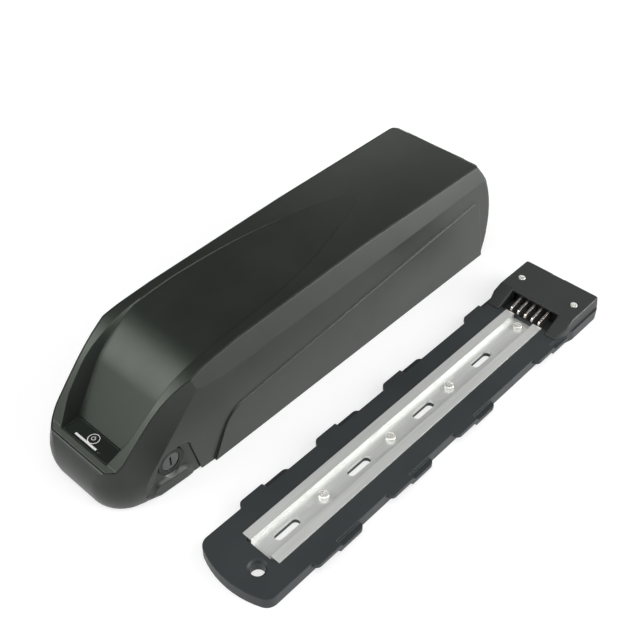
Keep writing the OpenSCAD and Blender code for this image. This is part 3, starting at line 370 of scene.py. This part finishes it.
def heat_aluminium():
    return metal("heat_aluminium", dark=(0.62, 0.62, 0.64), light=(0.72, 0.72, 0.74),
                 rough=(0.3, 0.42), stretch=(0.05, 1, 1))


def chip_epoxy():
    return plastic("chip_epoxy", dark=(0.012, 0.012, 0.013), light=(0.02, 0.02, 0.022),
                   rough=(0.5, 0.6), edge=0.2 * MM)


def fuse_green():
    return plastic("fuse_green", dark=(0.03, 0.32, 0.09), light=(0.045, 0.4, 0.12),
                   rough=(0.15, 0.25), edge=0.3 * MM)


def lead_red():
    return plastic("lead_red", dark=(0.32, 0.012, 0.012), light=(0.4, 0.018, 0.018),
                   rough=(0.35, 0.45), edge=0.3 * MM)


def lead_black():
    return plastic("lead_black", dark=(0.012, 0.012, 0.012), light=(0.018, 0.018, 0.018),
                   rough=(0.35, 0.45), edge=0.3 * MM)


def contact_brass():
    return metal("contact_brass", dark=(0.62, 0.5, 0.27), light=(0.74, 0.61, 0.34),
                 rough=(0.2, 0.32))


def black_screws():
    return metal("black_screws", dark=(0.03, 0.03, 0.03), light=(0.045, 0.045, 0.045),
                 rough=(0.35, 0.45))


# Materials of the mounting plate
def blade_nickel():
    return metal("blade_nickel", dark=(0.84, 0.77, 0.72), light=(0.95, 0.88, 0.83),
                 rough=(0.14, 0.20), edge=0.4 * MM, grain=120, depth=0.002 * MM, metallic=0.95)


def plate_grey():
    return plastic("plate_grey", dark=(0.024, 0.027, 0.029), light=(0.031, 0.035, 0.037),
                   rough=(0.42, 0.52), edge=0.8 * MM, depth=0.03 * MM, tint=BLUISH)


def rail_brushed():
    return metal("rail_brushed", dark=(0.79, 0.80, 0.775), light=(0.87, 0.88, 0.855),
                 rough=(0.38, 0.46), edge=0.2 * MM, stretch=(1, 0.02, 1), grain=1400,
                 depth=0.008 * MM, metallic=0.65)


def bright_screws():
    return metal("bright_screws", dark=(0.90, 0.89, 0.85), light=(0.97, 0.96, 0.92),
                 rough=(0.20, 0.28), metallic=0.6)


def box_grey():
    return plastic("box_grey", dark=(0.022, 0.024, 0.0235), light=(0.029, 0.031, 0.03),
                   rough=(0.4, 0.5), edge=1.2 * MM, depth=0.03 * MM)


def grommet_rubber():
    return plastic("grommet_rubber", dark=(0.012, 0.012, 0.012), light=(0.018, 0.018, 0.018),
                   rough=(0.6, 0.7), edge=0.5 * MM)


# Every material by a short name, and the one that each CAD node gets
def make_materials():
    return {
        "shell": shell_satin(),
        "cover": cover_satin(),
        "tray": tray_matt(),
        "gauge": gauge_gloss(),
        "light": gauge_white(),
        "button": button_black(),
        "board": board_green(),
        "zinc": lock_zinc(),
        "steel": lock_steel(),
        "socket": socket_black(),
        "rubber": cap_rubber(),
        "switch": switch_black(),
        "rocker": rocker_red(),
        "wrap": cell_wrap(),
        "holder": holder_black(),
        "nickel": nickel_strip(),
        "heat": heat_aluminium(),
        "chip": chip_epoxy(),
        "fuse": fuse_green(),
        "red": lead_red(),
        "black": lead_black(),
        "brass": contact_brass(),
        "blade": blade_nickel(),
        "dark_screw": black_screws(),
        "plate": plate_grey(),
        "rail": rail_brushed(),
        "bright": bright_screws(),
        "box": box_grey(),
        "grommet": grommet_rubber(),
    }


NODE_MATERIALS = {
    "side_shell": "shell",
    "top_cover": "cover",
    "bottom_tray": "tray",
    "gauge_window": "gauge",
    "gauge_bar": "light",
    "gauge_board": "board",
    "power_button": "button",
    "lock_housing": "zinc",
    "lock_nut": "zinc",
    "lock_barrel": "steel",
    "lock_cam": "steel",
    "lock_bolt": "steel",
    "charge_socket": "socket",
    "charge_cap": "rubber",
    "switch_frame": "switch",
    "switch_rocker": "rocker",
    "cells_row_1": "wrap",
    "cells_row_2": "wrap",
    "cells_row_3": "wrap",
    "cells_row_4": "wrap",
    "cell_holder_left": "holder",
    "cell_holder_right": "holder",
    "nickel_strips_left": "nickel",
    "nickel_strips_right": "nickel",
    "bms_board": "board",
    "bms_heat_plate": "heat",
    "bms_parts": "chip",
    "fuse_holder": "socket",
    "blade_fuse": "fuse",
    "lead_positive": "red",
    "lead_negative": "black",
    "discharge_socket": "socket",
    "socket_contacts": "brass",
    "case_screws": "dark_screw",
    "base_plate": "plate",
    "mount_rail": "rail",
    "rail_screws": "bright",
    "connector_cover": "box",
    "contact_block": "socket",
    "blade_contacts": "blade",
    "cover_screws": "bright",
    "cable_grommet": "grommet",
}


def dress(materials):
    """Gives every CAD node its material."""
    for node, key in NODE_MATERIALS.items():
        for slot in cad[node].material_slots:
            slot.material = materials[key]


# Making pieces
MERGE_DISTANCE = 0.001 * MM
FLAT_ANGLE = 0.4
BEVEL_SEGMENTS = 5
BEVEL_PROFILE = 0.5

# One set of edges to round: the width, the least angle between their faces, and which edges
Rounding = namedtuple("Rounding", "width least test")


def make_object(name, shape, material, smooth):
    """Turns a bmesh into an object, with its edges sharp from an angle on and the rest smooth."""
    for face in shape.faces:
        face.smooth = True
    for edge in shape.edges:
        edge.smooth = edge.calc_face_angle(0.0) < math.radians(smooth)
    mesh = bpy.data.meshes.new(name)
    shape.to_mesh(mesh)
    shape.free()
    mesh.materials.append(material)
    made = bpy.data.objects.new(name, mesh)
    scene.collection.objects.link(made)
    return made


def round_edges(shape, rounding):
    """Rounds the convex edges of a bmesh that a rounding's test picks by their two ends."""
    chosen = [
        edge
        for edge in shape.edges
        if len(edge.link_faces) == 2
        and edge.calc_face_angle(0.0) > math.radians(rounding.least)
        and edge.is_convex
        and rounding.test(edge.verts[0].co, edge.verts[1].co)
    ]
    bmesh.ops.bevel(
        shape,
        geom=chosen,
        offset=rounding.width,
        offset_type="OFFSET",
        segments=BEVEL_SEGMENTS,
        profile=BEVEL_PROFILE,
        affect="EDGES",
        clamp_overlap=False,
    )


def refined(node, body, material, roundings=(), smooth=24, shift=None):
    """A copy of a CAD node with smooth shading and some of its edges rounded in the mesh.

    Where shift is given, it moves the copy's points before the edges are rounded.
    """
    shape = bmesh.new()
    shape.from_mesh(cad[node].data)
    bmesh.ops.remove_doubles(shape, verts=shape.verts, dist=MERGE_DISTANCE)
    bmesh.ops.dissolve_limit(
        shape, angle_limit=math.radians(FLAT_ANGLE), verts=shape.verts, edges=shape.edges
    )
    if shift is not None:
        for v in shape.verts:
            v.co = shift(v.co)
    for rounding in roundings:
        round_edges(shape, rounding)
    piece = make_object(node + "_finish", shape, material, smooth)
    weights = piece.modifiers.new("weights", "WEIGHTED_NORMAL")
    weights.keep_sharp = True
    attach(piece, body)
    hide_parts(node)


def shape_to_piece(name, shape, material, body, smooth=30):
    """Makes a piece of a finished bmesh."""
    bmesh.ops.recalc_face_normals(shape, faces=shape.faces)
    piece = make_object(name, shape, material, smooth)
    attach(piece, body)
    return piece


def add_polygon(shape, points):
    """Adds the points of one ring to a bmesh."""
    return [shape.verts.new(point) for point in points]


def join_rings(shape, low, high):
    """Adds the faces between two rings with the same number of points."""
    for i in range(len(low)):
        j = (i + 1) % len(low)
        shape.faces.new((low[i], low[j], high[j], high[i]))


def around(radius, angle, height=0.0):
    """A point on a circle about Z."""
    turn = math.radians(angle)
    return Vector((radius * math.cos(turn), radius * math.sin(turn), height))


def lathe(shape, centre, outline, steps=48):
    """Adds a closed turned form about Z: outline is radius and height, from axis to axis."""
    rings = []
    for radius, height in outline:
        count = steps if radius else 1
        turns = [360 * i / steps for i in range(count)]
        rings.append(add_polygon(shape, [centre + around(radius, a, height) for a in turns]))
    for low, high in zip(rings, rings[1:]):
        for i in range(steps):
            j = (i + 1) % steps
            corners = [low[i % len(low)], low[j % len(low)], high[j % len(high)],
                       high[i % len(high)]]
            shape.faces.new([v for k, v in enumerate(corners) if v not in corners[:k]])


def flat_ring(shape, centre, inner, outer, thick, start=0, end=360, steps=56):
    """Adds a flat ring, or an arc of one between two angles."""
    whole = end - start >= 360
    section = ((inner, 0), (outer, 0), (outer, thick), (inner, thick))
    rows = []
    for i in range(steps if whole else steps + 1):
        angle = start + (end - start) * i / steps
        points = [centre + around(radius, angle, height) for radius, height in section]
        rows.append(add_polygon(shape, points))
    for low, high in zip(rows, rows[1:]):
        join_rings(shape, low, high)
    if whole:
        join_rings(shape, rows[-1], rows[0])
    else:
        shape.faces.new(rows[0])
        shape.faces.new(rows[-1][::-1])


def block(shape, low, high):
    """Adds a closed box between two corners."""
    made = bmesh.ops.create_cube(shape, size=1.0)["verts"]
    for v in made:
        v.co = Vector([low[k] + (v.co[k] + 0.5) * (high[k] - low[k]) for k in range(3)])


def carve(piece, shape):
    """Cuts a closed bmesh out of a piece for good."""
    mesh = bpy.data.meshes.new("cutter")
    shape.to_mesh(mesh)
    shape.free()
    cutter = bpy.data.objects.new("cutter", mesh)
    scene.collection.objects.link(cutter)
    cut = piece.modifiers.new("cut", "BOOLEAN")
    cut.operation = "DIFFERENCE"
    cut.solver = "EXACT"
    cut.object = cutter
    bpy.context.view_layer.update()
    seen = piece.evaluated_get(bpy.context.evaluated_depsgraph_get())
    done = bpy.data.meshes.new_from_object(seen)
    piece.modifiers.remove(cut)
    piece.data = done
    bpy.data.objects.remove(cutter)


# The pack's own axes, as in the part's source: where they start in the shared frame
PACK_X = -0.0523
PACK_Y = -0.1795

# Regions of the pack in its own millimetres, as a low and a high corner
FAR = 1000.0
TAIL_CORNERS = ((37.5, 336.0, -FAR), (44.5, FAR, 88.0))
TAIL_TOP = ((-FAR, 341.0, 85.0), (40.3, 343.5, FAR))
PANEL_CORNERS = ((43.9, 340.2, 58.1), (FAR, 341.8, 59.7))
PANEL_EDGES = ((44.95, -FAR, 0.5), (FAR, FAR, FAR))
LOCK_POCKET = ((39.5, 18.0, 0.5), (44.6, 67.0, 34.5))
UPRIGHT_SHARE = 0.3


def in_pack(p):
    """A point in the pack's own axes, in millimetres, on its right half."""
    return Vector((abs(p.x - PACK_X), p.y - PACK_Y, p.z)) / MM


def within(region, a, b):
    """Whether both ends of an edge lie in a region of the pack."""
    low, high = region
    return all(low[k] < p[k] < high[k] for p in (in_pack(a), in_pack(b)) for k in range(3))


def at_tail(a, b):
    """Corner edges of the tail that rise by a good share of their length."""
    return within(TAIL_CORNERS, a, b) and abs(a.z - b.z) > UPRIGHT_SHARE * (a - b).length


def at_tail_top(a, b):
    """The edge where the top turns down at the tail."""
    return within(TAIL_TOP, a, b)


def at_panel_corner(a, b):
    """The short edge at the upper tail corner of a raised side panel."""
    return within(PANEL_CORNERS, a, b)


def at_panel_edge(a, b):
    """Outer edges of the raised side panels."""
    return within(PANEL_EDGES, a, b)


def at_lock_pocket(a, b):
    """Edges where the pocket round the lock meets the pack's side."""
    return a.x > PACK_X and within(LOCK_POCKET, a, b)


# Side shell and top cover share a lip in front of the gauge, which slopes down to the nose
LIP_LOW, LIP_HIGH = 30 * MM, 34 * MM
LIP_BACK = 7.6 * MM
LIP_LENGTH = 5.5 * MM
LIP_FALL = 0.7 * MM


def lip_down(p):
    """Lowers a point of the lip by up to LIP_FALL, the more the nearer it is to the nose."""
    reach = (PACK_Y + LIP_BACK - p.y) / LIP_LENGTH
    if p.z < LIP_LOW or p.z > LIP_HIGH or reach <= 0:
        return p
    return p - Vector((0, 0, LIP_FALL * min(reach, 1.0)))


def add_side_shell(material):
    roundings = (
        Rounding(width=6.0 * MM, least=25, test=at_panel_corner),
        Rounding(width=4.5 * MM, least=25, test=at_tail),
        Rounding(width=2.2 * MM, least=25, test=at_tail_top),
        Rounding(width=0.7 * MM, least=40, test=at_panel_edge),
        Rounding(width=1.5 * MM, least=50, test=at_lock_pocket),
    )
    refined("side_shell", "pack", material, roundings, smooth=14, shift=lip_down)


def add_top_cover(material):
    refined("top_cover", "pack", material, shift=lip_down)


# Connector cover, with x from its middle and millimetres for all its limits
BOX_FOOT_Z = 9.0
BOX_SIDE_X = 28.0
BOX_BACK_Y = 174.0
BOX_BACK_Z = 16.9
BOX_FRONT_Y = 140.5
MOUTH_X = 19.5
MOUTH_SLACK = 0.6
MOUTH_TOP_X = 20.0
MOUTH_TOP_Z = 16.0
PLATE_MID = sum((v.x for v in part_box("connector_cover")), 0.0) / 2


def at_box_edge(a, b):
    """Outer edges of the connector cover above its foot, and the edges of its mouth."""
    ends = [Vector((abs(p.x - PLATE_MID), p.y, p.z)) / MM for p in (a, b)]
    if max(p.z for p in ends) < BOX_FOOT_Z:
        return False
    side = all(p.x > BOX_SIDE_X for p in ends)
    back = all(p.z > BOX_BACK_Z and p.y > BOX_BACK_Y for p in ends)
    front = all(p.y < BOX_FRONT_Y for p in ends)
    mouth = all(
        abs(p.x - MOUTH_X) < MOUTH_SLACK or (p.x < MOUTH_TOP_X and p.z > MOUTH_TOP_Z)
        for p in ends
    )
    return side or back or (mouth and front)


def add_connector_cover(material):
    edges = Rounding(width=1.0 * MM, least=40, test=at_box_edge)
    refined("connector_cover", "plate", material, (edges,))


def add_blade_contacts(material):
    refined("blade_contacts", "plate", material, smooth=30)


# The pocket round the lock, in the pack's own millimetres
POCKET_TOP = 32.2
FRONT_FOOT, FRONT_LEAN = 15.6, 0.603
BACK_FOOT, BACK_LEAN = 61.16, -0.2357
POCKET_FLOOR, FLOOR_LEAN = 41.2, 0.1835
LOCK_Y, LOCK_Z = 41.0, 21.0
LOCK_RING = 9.8
BEHIND_RING = 38.7
RING_SLOPE = 1.2

# Flat stretches of the pack's side round the pocket: x at a place, and its slopes along and up
Flat = namedtuple("Flat", "x y z along up")
SIDE_FLATS = (
    Flat(x=41.0, y=21.0, z=0.0, along=0.05, up=0.0),
    Flat(x=40.9, y=21.0, z=0.0, along=0.33, up=0.0),
    Flat(x=40.9, y=22.5, z=21.5, along=0.32, up=-0.24),
    Flat(x=36.5, y=13.6, z=1.7, along=0.326, up=0.393),
)

# The moulded surface round the lock, in the same millimetres apart from its thickness
MOULD_LIFT = 0.25
MOULD_DIP_LEAST, MOULD_DIP_MOST = 0.5, 1.7
COVE_FRONT, COVE_TOP, COVE_BACK = 3.2, 2.6, 11.0
BULGE_RISE = 2.4
BULGE_TOP, BULGE_FADE = 13.0, 7.0
BULGE_FRONT, BULGE_FRONT_FADE = 24.0, 7.0
BULGE_BACK, BULGE_BACK_FADE = 58.0, 9.0
BULGE_DEPTH_LEAST = 0.4
MOULD_ACROSS, MOULD_UP = 96, 64
MOULD_TUCK = 0.15
MOULD_FOOT = 0.9
MOULD_THICK = 0.3 * MM
MOULD_SMOOTH = 60


def eased(t):
    """Goes smoothly from 0 to 1 as t does."""
    t = min(max(t, 0.0), 1.0)
    return t * t * (3 - 2 * t)


def pocket_depth_in(y, z):
    """Distances into the lock's pocket from its front, upper and back edges."""
    return (
        (y - FRONT_FOOT - FRONT_LEAN * z) / math.hypot(1.0, FRONT_LEAN),
        POCKET_TOP - z,
        (BACK_FOOT + BACK_LEAN * z - y) / math.hypot(1.0, BACK_LEAN),
    )


def outer_x(y, z):
    """Side of the pack where the pocket is cut."""
    return min(flat.x + flat.along * (y - flat.y) + flat.up * (z - flat.z) for flat in SIDE_FLATS)


def lock_pocket_x(y, z):
    """Moulded surface round the lock, which ends a little inside the pocket's edges."""
    outer = outer_x(y, z)
    floor = POCKET_FLOOR - FLOOR_LEAN * z + MOULD_LIFT
    start = min(max(outer - floor, MOULD_DIP_LEAST), MOULD_DIP_MOST)
    across = min(
        eased((y - BULGE_FRONT) / BULGE_FRONT_FADE), eased((BULGE_BACK - y) / BULGE_BACK_FADE)
    )
    bulge = BULGE_RISE * eased((BULGE_TOP - z) / BULGE_FADE) * across
    floor = min(floor + bulge, outer - BULGE_DEPTH_LEAST)
    front, upper, back = pocket_depth_in(y, z)
    cove = min(eased(front / COVE_FRONT), eased(upper / COVE_TOP), eased(back / COVE_BACK))
    x = outer - start - cove * (outer - start - floor)
    reach = math.hypot(y - LOCK_Y, z - LOCK_Z)
    return min(x, BEHIND_RING + RING_SLOPE * max(reach - LOCK_RING, 0.0))


def add_lock_cove(material):
    """The moulded surface that runs from the pocket's edges in to the lock."""
    shape = bmesh.new()
    rows = []
    for j in range(MOULD_UP + 1):
        z = MOULD_FOOT + (POCKET_TOP - MOULD_FOOT) * j / MOULD_UP
        near = FRONT_FOOT + FRONT_LEAN * z - MOULD_TUCK
        far = BACK_FOOT + BACK_LEAN * z + MOULD_TUCK
        row = []
        for i in range(MOULD_ACROSS + 1):
            y = near + (far - near) * i / MOULD_ACROSS
            x = lock_pocket_x(y, z)
            row.append(shape.verts.new((PACK_X + x * MM, PACK_Y + y * MM, z * MM)))
        rows.append(row)
    for low, high in zip(rows, rows[1:]):
        for i in range(MOULD_ACROSS):
            shape.faces.new((low[i], low[i + 1], high[i + 1], high[i]))
    piece = shape_to_piece("lock_cove", shape, material, "pack", MOULD_SMOOTH)
    thick = piece.modifiers.new("thick", "SOLIDIFY")
    thick.thickness = MOULD_THICK
    thick.offset = -1.0


# The thin frame round the gauge: inset from the gauge's edge, corner radius and height
Loop = namedtuple("Loop", "inset radius height")
GAUGE_FRAME = (
    Loop(inset=0.0, radius=0.05 * MM, height=0.0),
    Loop(inset=0.0, radius=0.05 * MM, height=0.12 * MM),
    Loop(inset=0.9 * MM, radius=3.6 * MM, height=0.16 * MM),
    Loop(inset=1.1 * MM, radius=3.4 * MM, height=0.0),
)


def rounded_plan(low, high, radius, steps=8):
    """Points of a rectangle with rounded corners, from its right front corner round."""
    left, right = low.x + radius, high.x - radius
    front, back = low.y + radius, high.y - radius
    points = []
    for quarter, (x, y) in enumerate(((right, front), (right, back), (left, back), (left, front))):
        for i in range(steps + 1):
            points.append(Vector((x, y, 0)) + around(radius, 90 * (quarter - 1 + i / steps)))
    return points


def add_gauge_frame(material):
    """Thin frame of the cover's plastic that rounds the corners of the gauge's opening."""
    low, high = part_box("gauge_window")
    shape = bmesh.new()
    rings = []
    for loop in GAUGE_FRAME:
        edge = Vector((loop.inset, loop.inset, 0))
        lift = Vector((0, 0, high.z + loop.height))
        plan = rounded_plan(low + edge, high - edge, loop.radius)
        rings.append(add_polygon(shape, [point + lift for point in plan]))
    for inner, outer in zip(rings, rings[1:] + rings[:1]):
        join_rings(shape, inner, outer)
    shape_to_piece("gauge_frame", shape, material, "pack")


# Print on the gauge and its button, and a lens whose outline is in millimetres
PRINT_THICK = 0.05 * MM
RING_INNER, RING_OUTER = 3.42 * MM, 4.0 * MM
MARK_INNER, MARK_OUTER = 1.05 * MM, 1.5 * MM
MARK_START, MARK_END = 120, 420
STROKE_HALF = 0.2 * MM
STROKE_FOOT, STROKE_TOP = 0.5 * MM, 1.9 * MM
LENS_SHIFT_X, LENS_SHIFT_Y = 10.5 * MM, -4.2 * MM
LENS_OUTLINE = ((0.0, 0.0), (1.2, 0.0), (1.1, 0.12), (0.7, 0.3), (0.0, 0.38))


def add_gauge_ring(middle, material):
    shape = bmesh.new()
    flat_ring(shape, middle, RING_INNER, RING_OUTER, PRINT_THICK)
    shape_to_piece("gauge_ring", shape, material, "pack")


def add_button_mark(middle, material):
    """The usual power mark: a broken ring with an upright stroke in its gap."""
    shape = bmesh.new()
    flat_ring(shape, middle, MARK_INNER, MARK_OUTER, PRINT_THICK, MARK_START, MARK_END)
    low = Vector((-STROKE_HALF, STROKE_FOOT, 0))
    high = Vector((STROKE_HALF, STROKE_TOP, PRINT_THICK))
    block(shape, middle + low, middle + high)
    shape_to_piece("button_mark", shape, material, "button")


def add_gauge_lens(middle, material):
    shape = bmesh.new()
    place = middle + Vector((LENS_SHIFT_X, LENS_SHIFT_Y, 0))
    lathe(shape, place, [(radius * MM, height * MM) for radius, height in LENS_OUTLINE])
    shape_to_piece("gauge_lens", shape, material, "pack")


def add_gauge_print(materials):
    """White print round the power button, its mark, and a small lens beside it."""
    window_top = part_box("gauge_window")[1].z
    button_low, button_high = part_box("power_button")
    middle = (button_low + button_high) / 2
    on_gauge = Vector((middle.x, middle.y, window_top))
    on_button = Vector((middle.x, middle.y, button_high.z))
    add_gauge_ring(on_gauge, materials["light"])
    add_button_mark(on_button, materials["light"])
    add_gauge_lens(on_gauge, materials["gauge"])


# Screws of the plate: each head as the scene shows it, and the plain head of the solids
Head = namedtuple("Head", "radius rim height")
SHANK_RADIUS, SHANK_LENGTH = 1.4 * MM, 2.0 * MM
DOME_STEP = 10
RECESS_REACH_SHARE, RECESS_WIDTH_SHARE, RECESS_DEPTH_SHARE = 0.56, 0.26, 0.5
CUTTER_RISE = 3 * MM
RAIL_HEAD = Head(radius=3.4 * MM, rim=2.0 * MM, height=2.9 * MM)
RAIL_SOLID_RADIUS, RAIL_SOLID_HEIGHT = 3.3 * MM, 1.5 * MM
RAIL_SPANS = (0.0, 63.0, 124.5, 205.5)
RAIL_TURNS = (12, 57, 33, 78)
COVER_HEAD = Head(radius=2.6 * MM, rim=0.8 * MM, height=1.3 * MM)
COVER_SOLID_RADIUS, COVER_SOLID_HEIGHT = 2.6 * MM, 1.2 * MM
COVER_TURNS = (20, 65)


def screw_head(shape, centre, head):
    """Adds a domed head on a short shank."""
    shank = [(0.0, -SHANK_LENGTH), (SHANK_RADIUS, -SHANK_LENGTH), (SHANK_RADIUS, 0.0)]
    dome = [
        (
            head.radius * math.cos(math.radians(a)),
            head.rim + (head.height - head.rim) * math.sin(math.radians(a)),
        )
        for a in range(0, 90, DOME_STEP)
    ]
    lathe(shape, centre, [*shank, (head.radius, 0.0), *dome, (0.0, head.height)])


def cross_recess(shape, centre, head, turn):
    """Adds the cutter of a cross recess in a screw's head."""
    half = RECESS_REACH_SHARE * head.radius
    side = RECESS_WIDTH_SHARE * head.radius / 2
    depth = RECESS_DEPTH_SHARE * head.height
    arm = [(half, -side), (half, side), (side, side)]
    ring = [
        centre + Matrix.Rotation(math.radians(turn + quarter), 4, "Z") @ Vector((x, y, 0))
        for quarter in (0, 90, 180, 270)
        for x, y in arm
    ]
    low = add_polygon(shape, [p - Vector((0, 0, depth)) for p in ring])
    high = add_polygon(shape, [p + Vector((0, 0, CUTTER_RISE)) for p in ring])
    shape.faces.new(low[::-1])
    shape.faces.new(high)
    join_rings(shape, low, high)


def add_screws(node, material, places, head, turns):
    """Puts domed screws with cross recesses in place of a node of plain ones."""
    shape = bmesh.new()
    for place in places:
        screw_head(shape, place, head)
    piece = shape_to_piece(node + "_finish", shape, material, "plate")
    cutter = bmesh.new()
    for place, turn in zip(places, turns):
        cross_recess(cutter, place + Vector((0, 0, head.height)), head, turn)
    carve(piece, cutter)
    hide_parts(node)


def add_rail_screws(material):
    """Four screws in a row along the rail's floor, spaced as in the part's source."""
    low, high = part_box("rail_screws")
    base = high.z - RAIL_SOLID_HEIGHT
    x = (low.x + high.x) / 2
    first, last = low.y + RAIL_SOLID_RADIUS, high.y - RAIL_SOLID_RADIUS
    shares = [span / RAIL_SPANS[-1] for span in RAIL_SPANS]
    places = [Vector((x, first + (last - first) * share, base)) for share in shares]
    add_screws("rail_screws", material, places, RAIL_HEAD, RAIL_TURNS)


def add_cover_screws(material):
    """Two screws side by side on the connector cover."""
    low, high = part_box("cover_screws")
    base = high.z - COVER_SOLID_HEIGHT
    y = (low.y + high.y) / 2
    xs = (low.x + COVER_SOLID_RADIUS, high.x - COVER_SOLID_RADIUS)
    places = [Vector((x, y, base)) for x in xs]
    add_screws("cover_screws", material, places, COVER_HEAD, COVER_TURNS)


# The scene
add_camera()
add_world()
add_floor()
add_lights()
materials = make_materials()
dress(materials)
add_side_shell(materials["shell"])
add_top_cover(materials["cover"])
add_connector_cover(materials["box"])
add_blade_contacts(materials["blade"])
add_lock_cove(materials["shell"])
add_gauge_frame(materials["cover"])
add_gauge_print(materials)
add_rail_screws(materials["bright"])
add_cover_screws(materials["bright"])
